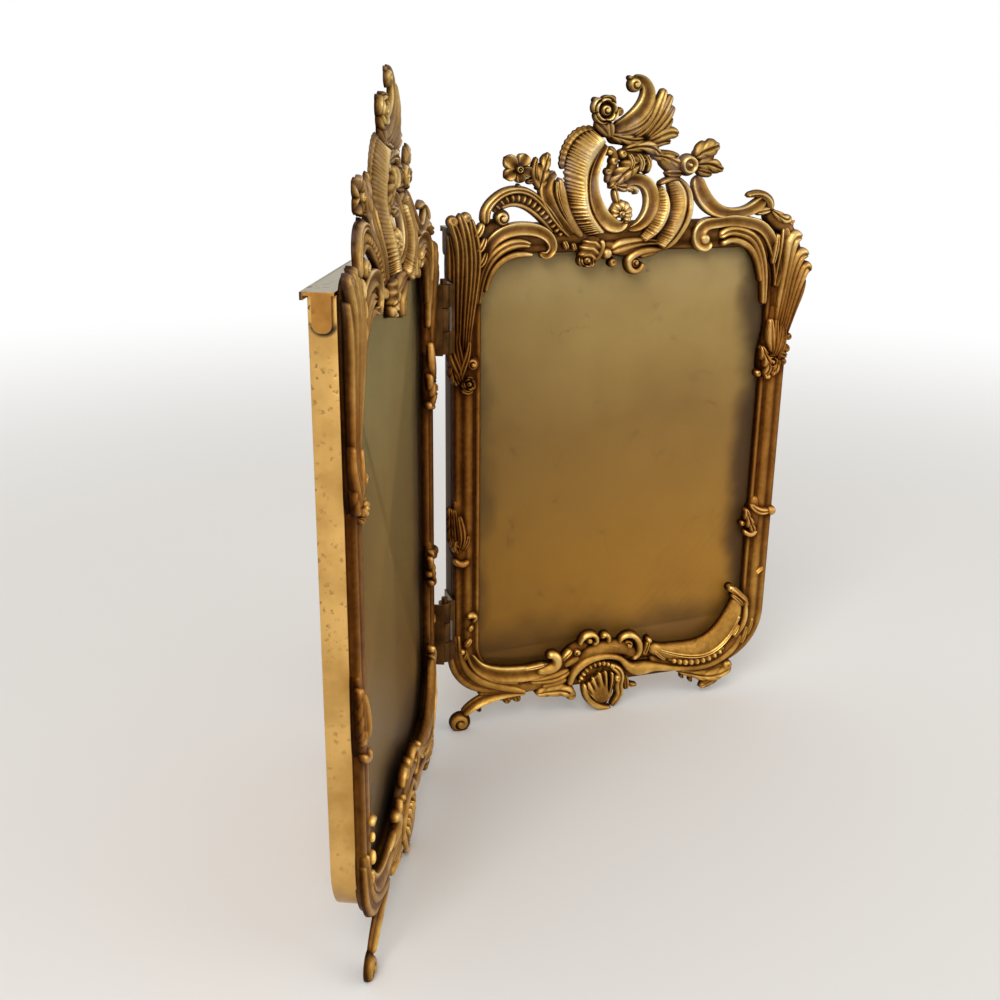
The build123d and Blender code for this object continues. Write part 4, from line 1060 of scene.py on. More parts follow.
@dataclass(frozen=True)
class LeafSeat:
    """Where one leaf stands, which side its hinges are on and how its casting is trimmed."""

    side: str
    body: str
    origin: tuple[float, float]
    along: tuple[float, float]
    hinge_side: int
    hinge_zones: tuple = ((30.5, 54.5), (142.0, 166.0))
    limit: float = 65.1
    rail_side: float = 62.9
    axis_reach: float = 66.8
    axis_depth: float = 4.5
    half_closed: float = 11.2
    back_face: float = 9.0

    def ways(self) -> tuple[np.ndarray, np.ndarray]:
        """Give the way along the leaf and the way forwards, each 1 long."""
        along = np.array([*self.along, 0.0]) / math.hypot(*self.along)
        return along, np.array([along[1], -along[0], 0.0])

    def trim(self, points: np.ndarray) -> np.ndarray:
        """File the casting flush on the hinge side, and keep it under the closing plane."""
        local = points.copy()
        x = local[:, 0] * self.hinge_side
        z = local[:, 1]
        at_hinge = np.any([(z > low) & (z < high) for low, high in self.hinge_zones], axis=0)
        x = np.minimum(x, np.where(at_hinge, self.rail_side, self.limit))
        local[:, 0] = x * self.hinge_side
        ceiling = self.axis_depth + (self.axis_reach - x) * math.tan(math.radians(self.half_closed))
        local[:, 2] = np.minimum(np.minimum(local[:, 2], ceiling), CAST_FRONT)
        local[:, 1] = np.maximum(local[:, 1], 0.0)
        return local

    def press(self) -> Matrix:
        """Press the stack thinner against its back face, so far behind the leaf's plane.

        Formula: p + (share - 1) (f.p - f.o + back face) f, with f forwards and o the origin.
        """
        forward = self.ways()[1]
        matrix = np.eye(4)
        matrix[:3, :3] += (STACK_SHARE - 1) * np.outer(forward, forward)
        behind = self.back_face - forward @ np.array([*self.origin, 0.0])
        matrix[:3, 3] = (STACK_SHARE - 1) * MM * behind * forward
        return Matrix(matrix.tolist())

    def place(self, local: np.ndarray) -> np.ndarray:
        """Turn leaf millimetres into metres: origin + x along + d forwards + z up."""
        along, forward = self.ways()
        up = np.array([0.0, 0.0, 1.0])
        origin = np.array([*self.origin, 0.0])
        return MM * (origin + local[:, :1] * along + local[:, 2:3] * forward + local[:, 1:2] * up)


SEATS = (
    LeafSeat("right", "right_leaf", (29.05, 58.84), (1.0, 0.0), -1),
    LeafSeat("left", "left_leaf", (-67.888, -5.437), (0.38913, 0.92119), 1),
)


@dataclass(frozen=True)
class WearAndShade:
    """How the gilding is worn and shaded: bright where the casting stands proud of what is round it
    and dark where it lies lower, partly real wear and soiling, partly painted highlight and painted shade.

    The grid's low corner and its cell are in leaf millimetres, and its size is in cells. Each
    reach is a blur in millimetres and its weight, and the lift brings every depth over zero.
    """

    cell: float = 0.4
    low: tuple[float, float] = (-80.0, -6.0)
    size: tuple[int, int] = (400, 610)
    reaches: tuple = ((1.3, 0.55), (4.5, 0.3))
    lift: float = 3.0

    def spread(self, grid: np.ndarray, reach: float) -> np.ndarray:
        """Blur a grid by a bell of that reach in millimetres, as a product in frequency."""
        fx = np.fft.fftfreq(grid.shape[0], self.cell)[:, None]
        fz = np.fft.rfftfreq(grid.shape[1], self.cell)[None, :]
        bell = np.exp(-2 * (math.pi * reach) ** 2 * (fx**2 + fz**2))
        return np.fft.irfft2(np.fft.rfft2(grid) * bell, s=grid.shape)

    def rub_and_shade(self, points: np.ndarray) -> np.ndarray:
        """Give each point its value of wear and painted light.

        Formula: the highest point in each cell of a grid makes a height map. The value is 0.5
        plus the height of a point over the blurred map, for a fine and a broad blur, each
        blurred only over cells that hold metal.

        Args:
            points: All points of one leaf's casting, in leaf millimetres.

        Returns:
            One value a point, from 0 in the hollows, soiled and with painted shade, to 1 on the
            crowns, worn and with painted highlight.
        """
        cells = ((points[:, :2] - self.low) / self.cell).astype(int)
        cells = np.clip(cells, 1, np.array(self.size) - 2)
        height = np.zeros(self.size)
        lifted = points[:, 2] + self.lift
        np.maximum.at(height, (cells[:, 0], cells[:, 1]), lifted)
        for axis in (0, 1, 0, 1):
            sides = np.maximum(np.roll(height, 1, axis), np.roll(height, -1, axis))
            height = np.where(height > 0, height, sides)
        metal = (height > 0).astype(float)
        value = np.full(len(points), 0.5)
        for reach, weight in self.reaches:
            mean = self.spread(height, reach) / np.maximum(self.spread(metal, reach), 0.02)
            value += weight * (lifted - mean[cells[:, 0], cells[:, 1]]) / (0.5 + 0.35 * reach)
        return np.clip(value, 0.0, 1.0)


def make_object(name: str, points: np.ndarray, faces: np.ndarray, body: str) -> bpy.types.Object:
    """Make a smooth mesh object from metres and faces of four corners, and set it riding.

    Args:
        name: Name of the piece.
        points: Places in metres.
        faces: Four corner numbers a face; a triangle has its first corner again at the end.
        body: The CAD body that it rides on.

    Returns:
        The new object, at the origin.
    """
    sizes = np.where(faces[:, 0] == faces[:, 3], 3, 4)
    keep = np.arange(4)[None, :] < sizes[:, None]
    mesh = bpy.data.meshes.new(name)
    mesh.vertices.add(len(points))
    mesh.vertices.foreach_set("co", points.astype(np.float32).ravel())
    mesh.loops.add(int(sizes.sum()))
    mesh.loops.foreach_set("vertex_index", faces[keep].astype(np.int32))
    mesh.polygons.add(len(faces))
    starts = np.concatenate([[0], np.cumsum(sizes)[:-1]])
    mesh.polygons.foreach_set("loop_start", starts.astype(np.int32))
    mesh.update(calc_edges=True)
    mesh.validate()
    mesh.shade_smooth()
    piece = bpy.data.objects.new(name, mesh)
    bpy.context.scene.collection.objects.link(piece)
    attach(piece, body)
    return piece


ADD, SUBTRACT, MULTIPLY = {"operation": "ADD"}, {"operation": "SUBTRACT"}, {"operation": "MULTIPLY"}
MULTIPLY_ADD, LARGER = {"operation": "MULTIPLY_ADD"}, {"operation": "MAXIMUM"}
SOFT_STEP, COLOURS = {"interpolation_type": "SMOOTHSTEP"}, {"data_type": "RGBA"}
RISE = ("Value", "From Min", "From Max", "To Max")


def colour(code: str) -> tuple[float, float, float, float]:
    """Turn an sRGB hex value such as "c8a060" into linear red, green, blue and an alpha of 1."""
    parts = np.array([int(code[i : i + 2], 16) / 255 for i in (0, 2, 4)])
    linear = np.where(parts <= 0.04045, parts / 12.92, ((parts + 0.055) / 1.055) ** 2.4)
    return (*linear.tolist(), 1.0)


def fill(tree: NodeTree, node: Node, inputs: dict) -> None:
    """Set or link the sockets of a node.

    Args:
        tree: The node tree.
        node: The node to fill.
        inputs: Values by socket name or number. An output socket is linked, and of a node its
            first output.
    """
    for key, value in inputs.items():
        if isinstance(value, Node):
            value = next(socket for socket in value.outputs if socket.enabled)
        if isinstance(value, NodeSocket):
            tree.links.new(value, node.inputs[key])
        else:
            node.inputs[key].default_value = value


def add_node(
    tree: NodeTree, kind: str, settings: dict | None = None, inputs: dict | None = None, stops: tuple = ()
) -> Node:
    """Add one node with its settings and links.

    Args:
        tree: The node tree.
        kind: Blender's type name after ShaderNode, such as "Math".
        settings: Attributes to set on the node.
        inputs: What fill() puts into its sockets.
        stops: Places and hex colours, if the node is a colour ramp.

    Returns:
        The new node.
    """
    node = tree.nodes.new("ShaderNode" + kind)
    for key, value in (settings or {}).items():
        setattr(node, key, value)
    if stops:
        elements = node.color_ramp.elements
        while len(elements) < len(stops):
            elements.new(0.5)
        for element, (place, code) in zip(elements, stops):
            element.position = place
            element.color = colour(code)
    fill(tree, node, inputs or {})
    return node


def new_material(name: str) -> tuple[Material, Node, NodeSocket]:
    """Make a material with one Principled shader, and give back both and the piece's places."""
    material = bpy.data.materials.new(name)
    material.use_nodes = True
    tree = material.node_tree
    shader = next(node for node in tree.nodes if node.type == "BSDF_PRINCIPLED")
    return material, shader, add_node(tree, "TexCoord").outputs["Object"]


def mix_surface(tree: NodeTree, share: Node, shader: Node, other: Node) -> None:
    """Let another shader take its share of the surface."""
    both = add_node(tree, "MixShader", inputs={0: share, 1: shader, 2: other})
    fill(tree, next(node for node in tree.nodes if node.type == "OUTPUT_MATERIAL"), {"Surface": both})


def stray(tree: NodeTree, place: NodeSocket, scale: float, reach: float) -> tuple[Node, Node]:
    """Shift places by fine noise, so that a pattern of cells has no straight edges.

    Args:
        tree: The node tree.
        place: The places to shift.
        scale: Scale of the noise.
        reach: How far the noise shifts them, in metres.

    Returns:
        The noise and the shifted places.
    """
    noise = add_node(tree, "TexNoise", inputs={"Vector": place, "Scale": scale, "Detail": 3.0})
    shift = add_node(tree, "VectorMath", {"operation": "SCALE"}, {0: noise.outputs["Color"], "Scale": reach})
    return noise, add_node(tree, "VectorMath", ADD, {0: shift, 1: place})


def leaf_reach(tree: NodeTree, place: NodeSocket, seat: LeafSeat, way: tuple[float, float]) -> Node:
    """Give how far places lie from a leaf's seat along a level way, in metres."""
    origin = (seat.origin[0] * MM, seat.origin[1] * MM, 0.0)
    moved = add_node(tree, "VectorMath", SUBTRACT, {0: place, 1: origin})
    return add_node(tree, "VectorMath", {"operation": "DOT_PRODUCT"}, {0: moved, 1: (*way, 0.0)})


@dataclass(frozen=True)
class GiltCasting:
    """Cast brass, gilded, lacquered and worn.

    The eye sees soft gold on the crowns, worn bright by hands and cloths and with a painted
    highlight, warm brown on the flats, dark in the hollows from soiling and painted shade, and a
    fine grain from the sand mould. The foot is yellower and the rails are redder, where the
    gilding is thin, and a brown patina lies in blotches on the cresting.
    """

    # Colours from the hollows to the crowns: dark for soiling and painted shade, up to worn gold and painted
    # highlight.
    stops: tuple = (
        (0.0, "2c1a0b"), (0.22, "54371a"), (0.42, "7c5729"), (0.62, "a07c42"), (0.8, "c6a05a"),
        (0.94, "e2c27c"), (1.0, "f0d898"),
    )
    tints: tuple = (
        (0.0, "fff0cc"), (0.2, "fbe6c4"), (0.3, "d8b896"), (0.66, "d6b696"), (0.8, "ece4dc"),
        (1.0, "f0f4f8"),
    )
    patina: str = "8a7468"
    grain_mm: float = 0.35
    blotch_mm: float = 7.0
    fleck_mm: float = 1.6
    top_mm: float = 230.0
    patina_mm: tuple[float, float] = (175.0, 200.0)

    def material(self) -> Material:
        """Build the material: wear with painted shade and highlight drives colour and roughness, noise breaks
        both up.
        """
        material, shader, place = new_material("gilt_brass_casting")
        tree = material.node_tree
        height = add_node(tree, "SeparateXYZ", inputs={"Vector": place}).outputs["Z"]
        # This attribute carries real wear and soiling together with painted shade in the hollows and painted
        # highlight on the crowns.
        wear = add_node(tree, "Attribute", {"attribute_name": "wear"}).outputs["Fac"]
        blotch, fleck, grain = (
            add_node(tree, "TexNoise", inputs={"Vector": place, "Scale": 1 / (size * MM), "Detail": detail})
            for size, detail in ((self.blotch_mm, 3.0), (self.fleck_mm, 3.0), (self.grain_mm, 2.0))
        )
        shift = add_node(tree, "Math", MULTIPLY_ADD, {0: blotch, 1: 0.3, 2: -0.15})
        fine = add_node(tree, "Math", MULTIPLY_ADD, {0: fleck, 1: 0.26, 2: shift})
        level = add_node(tree, "Math", ADD, {0: wear, 1: fine})
        level = add_node(tree, "Math", SUBTRACT, {0: level, 1: 0.13})
        gold = add_node(tree, "ValToRGB", inputs={"Fac": level}, stops=self.stops)
        whole = {"Value": height, "From Min": 0.0, "From Max": self.top_mm * MM}
        rise = add_node(tree, "MapRange", inputs=whole)
        tint = add_node(tree, "ValToRGB", inputs={"Fac": rise}, stops=self.tints)
        tinting = COLOURS | {"blend_type": "MULTIPLY"}
        tinted = add_node(tree, "Mix", tinting, {"Factor": 1.0, "A": gold, "B": tint})
        span = {"From Min": 0.48, "From Max": 0.68, "To Max": 0.55}
        dull = add_node(tree, "MapRange", inputs={"Value": blotch} | span)
        low_end, high_end = (end * MM for end in self.patina_mm)
        high = add_node(tree, "MapRange", inputs={"Value": height, "From Min": low_end, "From Max": high_end})
        share = add_node(tree, "Math", MULTIPLY, {0: dull, 1: high})
        mixed = add_node(tree, "Mix", COLOURS, {"Factor": share, "A": tinted, "B": colour(self.patina)})
        span = {"From Min": 0.2, "From Max": 0.9, "To Min": 0.6, "To Max": 0.34}
        rough = add_node(tree, "MapRange", inputs={"Value": level} | span)
        sand = {"Strength": 0.3, "Distance": 0.0001, "Height": grain}
        dents = {"Strength": 0.35, "Distance": 0.0003, "Height": fleck}
        bump = add_node(tree, "Bump", inputs=dents | {"Normal": add_node(tree, "Bump", inputs=sand)})
        fill(tree, shader, {"Base Color": mixed, "Metallic": 1.0, "Roughness": rough, "Normal": bump})
        return material


@dataclass(frozen=True)
class SheetBrass:
    """Rolled sheet brass, folded and lacquered.

    The eye sees a smooth satin yellow metal with dull clouds and small dark pits where the
    lacquer failed. A top colour, if there is one, is the grey bloom on faces that look up. With a
    seat there is painted shade beyond so far along the leaf, on the hinge side, a painted shadow
    in a crescent under each ear, and a darker band behind so far, on the cap's rear lip. Each of
    these edges goes from none to full in millimetres and has its darkness.
    """

    name: str
    light: str = "deb168"
    dark: str = "ac7f3e"
    pit: str = "4a2e10"
    pit_mm: float = 2.0
    cloud_mm: float = 16.0
    roughness: float = 0.36
    top: str = ""
    seat: LeafSeat | None = None
    # The colour of the painted shade on the hinge side and the painted shadow under the ears, also laid on
    # the cap's rear lip.
    painted_shade: str = "33200e"
    shaded_side: tuple = (56.0, 61.2, 0.96)
    dark_lip: tuple = (-8.0, -8.6, 0.96)
    ear_shadow: tuple = (3.8, 3.0, 0.9)
    ear_depth: float = 1.5
    ear: tuple[float, float] = (-4.2, 176.1)

    def shade_share(
        self, tree: NodeTree, place: NodeSocket, height: NodeSocket
    ) -> Node:
        """Paint shade on the hinge side and a shadow in a crescent under each ear, and darken the cap's rear
        lip.

        Args:
            tree: The node tree.
            place: The places on the piece.
            height: Their height.

        Returns:
            The share of painted shade, with the rear lip's darkening, at each place.
        """
        across = leaf_reach(tree, place, self.seat, self.seat.along)
        depth = leaf_reach(tree, place, self.seat, (self.seat.along[1], -self.seat.along[0]))
        reach = add_node(tree, "Math", MULTIPLY, {0: across, 1: float(self.seat.hinge_side)})
        flat = add_node(tree, "CombineXYZ", inputs={"X": depth, "Y": height})
        middle = (self.ear[0] * MM, self.ear[1] * MM, 0.0)
        off = add_node(tree, "VectorMath", {"operation": "DISTANCE"}, {0: flat, 1: middle})
        under = (self.ear[1], self.ear[1] - self.ear_depth, 1.0)
        side, lip, ring, below = (
            add_node(tree, "MapRange", inputs=dict(zip(RISE, (value, clean * MM, full * MM, most))))
            for value, (clean, full, most) in (
                (reach, self.shaded_side), (depth, self.dark_lip), (off, self.ear_shadow), (height, under)
            )
        )
        ring = add_node(tree, "Math", MULTIPLY, {0: ring, 1: below})
        lip = add_node(tree, "Math", LARGER, {0: lip, 1: ring})
        return add_node(tree, "Math", LARGER, {0: side, 1: lip})

    def material(self) -> Material:
        """Build the material: clouds between two golds, scattered pits and, with a seat, painted shade."""
        material, shader, place = new_material(self.name)
        tree = material.node_tree
        height = add_node(tree, "SeparateXYZ", inputs={"Vector": place}).outputs["Z"]
        clouding = {"Vector": place, "Scale": 1 / (self.cloud_mm * MM), "Detail": 4.0}
        cloud = add_node(tree, "TexNoise", inputs=clouding)
        _, bent = stray(tree, place, 1.2 / (self.pit_mm * MM), 1.4 * self.pit_mm * MM)
        pits = add_node(tree, "TexVoronoi", inputs={"Vector": bent, "Scale": 1 / (self.pit_mm * MM)})
        base = add_node(tree, "ValToRGB", inputs={"Fac": cloud}, stops=((0.3, self.dark), (0.6, self.light)))
        span = {"From Min": 0.12, "From Max": 0.34, "To Min": 0.8, "To Max": 0.0}
        spot = add_node(tree, "MapRange", inputs={"Value": pits} | span)
        some = add_node(tree, "MapRange", inputs={"Value": cloud, "From Min": 0.44, "From Max": 0.58})
        span = {"From Min": 0.05, "From Max": 0.17, "To Min": 0.35}
        high = add_node(tree, "MapRange", inputs={"Value": height} | span)
        share = add_node(tree, "Math", MULTIPLY, {0: spot, 1: some})
        share = add_node(tree, "Math", MULTIPLY, {0: share, 1: high})
        metal, rough = 1.0, self.roughness
        if self.seat:
            # Painted shade and shadow, laid on as a dark matt colour.
            shaded = self.shade_share(tree, place, height)
            base = add_node(tree, "Mix", COLOURS, {"Factor": shaded, "A": base, "B": colour(self.painted_shade)})
            metal = add_node(tree, "Math", SUBTRACT, {0: 1.0, 1: shaded})
            matt = {"Value": shaded, "To Min": self.roughness, "To Max": 0.9}
            rough = add_node(tree, "MapRange", inputs=matt)
        if self.top:
            normal = add_node(tree, "TexCoord").outputs["Normal"]
            facing = add_node(tree, "SeparateXYZ", inputs={"Vector": normal}).outputs["Z"]
            span = {"From Min": 0.5, "From Max": 0.9, "To Max": 0.9}
            up = add_node(tree, "MapRange", inputs={"Value": facing} | span)
            base = add_node(tree, "Mix", COLOURS, {"Factor": up, "A": base, "B": colour(self.top)})
        mixed = add_node(tree, "Mix", COLOURS, {"Factor": share, "A": base, "B": colour(self.pit)})
        sunk = {"Strength": 0.4, "Distance": 0.0002, "Height": share}
        bump = add_node(tree, "Bump", {"invert": True}, sunk)
        fill(tree, shader, {"Base Color": mixed, "Metallic": metal, "Roughness": rough, "Normal": bump})
        return material


@dataclass(frozen=True)
class AgedCard:
    """Plain card, toned brown with age.

    The eye sees a smooth matt sheet, lighter and greyer above and warmer below, with painted shade
    round the opening where the rails shade the card, the darkest at the far side and the foot,
    over a little age toning at each edge, soft clouds and a few hair cracks. Each band of shade
    goes from clean to dark in millimetres and has its darkness.
    """

    seat: LeafSeat
    tones: tuple
    # The colour of the clouds, the cracks and the painted shade round the opening.
    stain_and_shade: str = "4a2508"
    cloud_mm: float = 26.316
    drift_mm: float = 24.0
    crack_mm: float = 27.778
    bend_mm: float = 7.143
    bend_reach_mm: float = 18.0
    tone_mm: tuple[float, float] = (22.0, 174.0)
    # Bands of painted shade at the far side, the foot, the near side and the head: where each starts, where
    # it is full, and its darkness.
    far: tuple = (41.0, 53.0, 0.85)
    foot: tuple = (46.0, 28.0, 0.7)
    near: tuple = (-45.0, -54.0, 0.55)
    head: tuple = (166.0, 174.0, 0.3)

    def edge_shade(
        self, tree: NodeTree, wide: Node, low: Node, height: NodeSocket
    ) -> Node:
        """Paint shade on the card at both sides, at its foot and at its head, where the rails shade it, with
        a little age toning.

        Args:
            tree: The node tree.
            wide: How far places lie along the leaf, made uneven.
            low: Their height, made uneven.
            height: Their height.

        Returns:
            The darkest of the four bands of painted shade at each place.
        """
        far, foot, near, head = (
            add_node(tree, "MapRange", SOFT_STEP, dict(zip(RISE, (value, clean * MM, full * MM, most))))
            for value, (clean, full, most) in (
                (wide, self.far), (low, self.foot), (wide, self.near), (height, self.head)
            )
        )
        darker = add_node(tree, "Math", LARGER, {0: far, 1: foot})
        lighter = add_node(tree, "Math", LARGER, {0: near, 1: head})
        return add_node(tree, "Math", LARGER, {0: darker, 1: lighter})

    def material(self) -> Material:
        """Build the material: a tone by height, painted shade at the edges, clouds and cracks."""
        material, shader, place = new_material(f"aged_brown_card_{self.seat.side}")
        tree = material.node_tree
        height = add_node(tree, "SeparateXYZ", inputs={"Vector": place}).outputs["Z"]
        across = leaf_reach(tree, place, self.seat, self.seat.along)
        clouding = {"Vector": place, "Scale": 1 / (self.cloud_mm * MM), "Detail": 4.0}
        cloud = add_node(tree, "TexNoise", inputs=clouding)
        spread = self.drift_mm * MM
        drift = add_node(tree, "Math", MULTIPLY_ADD, {0: cloud, 1: spread, 2: -spread / 2})
        wide = add_node(tree, "Math", ADD, {0: across, 1: drift})
        low = add_node(tree, "Math", SUBTRACT, {0: height, 1: drift})
        foot, head = (end * MM for end in self.tone_mm)
        rise = add_node(tree, "MapRange", inputs={"Value": low, "From Min": foot, "From Max": head})
        tone = add_node(tree, "ValToRGB", inputs={"Fac": rise}, stops=self.tones)
        span = {"From Min": 0.3, "From Max": 0.7, "To Min": 0.0, "To Max": 0.16}
        shade = add_node(tree, "MapRange", inputs={"Value": cloud} | span)
        bend, bent = stray(tree, place, 1 / (self.bend_mm * MM), self.bend_reach_mm * MM)
        cells = {"Vector": bent, "Scale": 1 / (self.crack_mm * MM)}
        crack = add_node(tree, "TexVoronoi", {"feature": "DISTANCE_TO_EDGE"}, cells)
        span = {"From Min": 0.0, "From Max": 0.014, "To Min": 0.34, "To Max": 0.0}
        line = add_node(tree, "MapRange", inputs={"Value": crack} | span)
        thin = add_node(tree, "MapRange", inputs={"Value": bend, "From Min": 0.52, "From Max": 0.6})
        line = add_node(tree, "Math", MULTIPLY, {0: line, 1: thin})
        dark = add_node(tree, "Math", ADD, {0: shade, 1: line})
        # Painted shade round the opening, where the rails shade the card.
        dark = add_node(tree, "Math", LARGER, {0: dark, 1: self.edge_shade(tree, wide, low, height)})
        mixed = add_node(tree, "Mix", COLOURS, {"Factor": dark, "A": tone, "B": colour(self.stain_and_shade)})
        fill(tree, shader, {"Base Color": mixed, "Roughness": 0.8})
        return material


@dataclass(frozen=True)
class GreyBoard:
    """Grey pasteboard: matt, fibrous and slightly mottled."""

    fibres: tuple = ((0.35, "6f6a5e"), (0.65, "8c8678"))
    fibre_mm: float = 1.111

    def material(self) -> Material:
        """Build the material: two greys mixed by fibres."""
        material, shader, place = new_material("grey_pasteboard")
        tree = material.node_tree
        felt = {"Vector": place, "Scale": 1 / (self.fibre_mm * MM), "Detail": 4.0}
        fibre = add_node(tree, "TexNoise", inputs=felt)
        grey = add_node(tree, "ValToRGB", inputs={"Fac": fibre}, stops=self.fibres)
        fill(tree, shader, {"Base Color": grey, "Roughness": 0.9})
        return material


@dataclass(frozen=True)
class WindowGlass:
    """Old drawn window glass: clear, very slightly green, with faint waves."""

    tint: str = "f4f7f2"
    straight: float = 0.78
    wave_mm: float = 40.0

    def material(self) -> Material:
        """Build the material: a clear refracting sheet with a long low bump that lets light in.

        Shadow and diffuse rays pass straight through, so the lamps reach the card behind, and
        most of the rest too, as the photographed panes hardly mirror.
        """
        material, shader, place = new_material("window_glass")
        tree = material.node_tree
        waving = {"Vector": place, "Scale": 1 / (self.wave_mm * MM), "Detail": 1.0}
        wave = add_node(tree, "TexNoise", inputs=waving)
        bump = add_node(tree, "Bump", inputs={"Strength": 0.1, "Distance": 0.0003, "Height": wave})
        pane = {"Base Color": colour(self.tint), "Roughness": 0.3, "Transmission Weight": 1.0}
        fill(tree, shader, pane | {"IOR": 1.5, "Specular IOR Level": 0.2, "Normal": bump})
        path = add_node(tree, "LightPath").outputs
        passing = add_node(tree, "Math", LARGER, {0: path["Is Shadow Ray"], 1: path["Is Diffuse Ray"]})
        passing = add_node(tree, "Math", LARGER, {0: passing, 1: self.straight})
        clear = add_node(tree, "BsdfTransparent", inputs={"Color": colour(self.tint)})
        mix_surface(tree, passing, shader, clear)
        return material


@dataclass
class CastLeaf:
    """The casting of one leaf: moulding, crest, apron and knots, dressed and worn.

    Painted shade darkens it towards the hinges, where the other leaf shades it, growing over the range of x,
    and ends over the range of z.
    """

    seat: LeafSeat
    finish: Material
    # Least values of wear and painted shade, which keep the rails and the carvings from going too dark.
    rail_wear: float = 0.28
    carving_wear: float = 0.06
    # How much painted shade darkens the casting on the hinge side.
    painted_shade: float = 0.2
    painted_shade_x: tuple[float, float] = (50.0, 61.0)
    painted_shade_z: tuple[float, float] = (176.0, 190.0)

    def pieces(self) -> list[tuple[str, str, float, Shape]]:
        """List each piece's name, the node that it stands for, its level shift and its trimmed shape."""
        named = [("rail_moulding", "rail_frame", 0.0, Moulding().shape())]
        for carving in (*Crest.carvings, *Apron.carvings, *SideKnots.carvings):
            named.append((carving.name, carving.node, carving.level_shift, carving.shape()))
        return [(*words, Shape(self.seat.trim(shape.points), shape.faces)) for *words, shape in named]

    def build(self, wear: WearAndShade) -> None:
        """Make every piece, with its wear and painted light as an attribute, and set it in place of its node.
        """
        named = self.pieces()
        rubbed_and_shaded = wear.rub_and_shade(np.vstack([shape.points for *_, shape in named]))
        start = 0
        for name, node, level_shift, shape in named:
            x, z = shape.points[:, 0] * self.seat.hinge_side, shape.points[:, 1]
            # Painted shade on the hinge side, where the other leaf shades the casting.
            shade_share = smooth_step(*self.painted_shade_x, x) * (1 - smooth_step(*self.painted_shade_z, z))
            least = self.rail_wear if node == "rail_frame" else self.carving_wear
            values = np.maximum(rubbed_and_shaded[start : start + len(shape.points)], least)
            values = np.clip(values + level_shift - self.painted_shade * shade_share, 0, 1)
            start += len(shape.points)
            places = self.seat.place(shape.points)
            piece = make_object(f"{self.seat.side}_{name}", places, shape.faces, self.seat.body)
            layer = piece.data.attributes.new("wear", "FLOAT", "POINT")
            layer.data.foreach_set("value", values.astype(np.float32))
            piece.data.materials.append(self.finish)
            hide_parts(f"{self.seat.side}_{node}")
            LOG.info("%s: %d points", piece.name, len(shape.points))


@dataclass(frozen=True)
class SoftCopy:
    """A copy of a CAD node, welded and with rounded edges, that stands for the node.

    Its rounding is in millimetres. Its upper end may sit a drop lower than in the CAD model, also
    in millimetres, and a press may make it thinner.
    """

    node: str
    name: str
    body: str
    slot: str
    finish: Material
    rounding: float
    drop: float = 0.0
    press: Matrix | None = None
    upper_end: float = 0.165

    def mesh(self, cad: bpy.types.Mesh) -> bpy.types.Mesh:
        """Copy the node's mesh: merge its corners, lower and press it, and clear flat edges."""
        work = bmesh.new()
        work.from_mesh(cad)
        bmesh.ops.remove_doubles(work, verts=work.verts, dist=1e-6)
        top = [vertex for vertex in work.verts if vertex.co.z > self.upper_end]
        bmesh.ops.translate(work, verts=top, vec=(0.0, 0.0, -self.drop * MM))
        if self.press is not None:
            bmesh.ops.transform(work, matrix=self.press, verts=work.verts)
        flat = math.radians(0.5)
        bmesh.ops.dissolve_limit(work, angle_limit=flat, verts=work.verts, edges=work.edges)
        mesh = bpy.data.meshes.new(self.name)
        work.to_mesh(mesh)
        work.free()
        mesh.materials.clear()
        mesh.materials.append(self.finish)
        return mesh

    def build(self, frame: dict) -> None:
        mesh = self.mesh(frame["nodes"][self.node].data)
        piece = bpy.data.objects.new(self.name, mesh)
        bpy.context.scene.collection.objects.link(piece)
        edge = piece.modifiers.new("rounded_edges", "BEVEL")
        edge.width = self.rounding * MM
        edge.segments = 2
        edge.limit_method = "ANGLE"
        edge.angle_limit = math.radians(35)
        edge.harden_normals = True
        mesh.shade_smooth()
        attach(piece, self.body)
        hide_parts(self.node)
        LOG.info("%s: %d points", self.name, len(mesh.vertices))


@dataclass
class LeafStack:
    """What one leaf holds behind its casting: glass, card, board, tray and sliding back."""

    seat: LeafSeat
    glass: Material
    board: Material
    tones: tuple

    def back_brass(self) -> SheetBrass:
        """Give the finish of the sliding back: duller and redder, with a grey bloom on its cap."""
        return SheetBrass(
            f"tarnished_sheet_brass_{self.seat.side}",
            light="cb954c",
            dark="97652e",
            pit="2a1608",
            pit_mm=3.0,
            cloud_mm=12.0,
            roughness=0.4,
            top="a7a391",
            seat=self.seat,
            ear=(0.0, 0.0),
        )

    def build(self, frame: dict) -> None:
        """Dress every piece and round its edges."""
        side = self.seat.side
        tray = SheetBrass(f"satin_sheet_brass_{side}", seat=self.seat).material()
        back = self.back_brass().material()
        card = AgedCard(self.seat, self.tones).material()
        for node, piece, body, slot, finish, rounding in (
            ("glass", "window_glass", "leaf", "window_glass", self.glass, 0.1),
            ("card_insert", "brown_card", "leaf", "card", card, 0.05),
            ("backing_board", "grey_board", "leaf", "board", self.board, 0.1),
            ("tray", "brass_tray", "leaf", "tray_brass", tray, 0.25),
            ("sliding_back", "brass_back", "back", "back_brass", back, 0.2),
        ):
            names = (f"{side}_{node}", f"{side}_{piece}", f"{side}_{body}", slot)
            SoftCopy(*names, finish, rounding, STACK_DROP, self.seat.press()).build(frame)


@dataclass
class Hinge:
    """One barrel hinge: two plates with knuckles and a pin."""

    name: str
    finish: Material
    rounding: float = 0.12

    def build(self, frame: dict) -> None:
        """Round the edges of both plates and of the pin."""
        for part, body in (("right_plate", "right_leaf"), ("left_plate", "left_leaf"), ("pin", "right_leaf")):
            node = f"{self.name}_{part}"
            SoftCopy(node, f"{node}_brass", body, "hinge_brass", self.finish, self.rounding).build(frame)


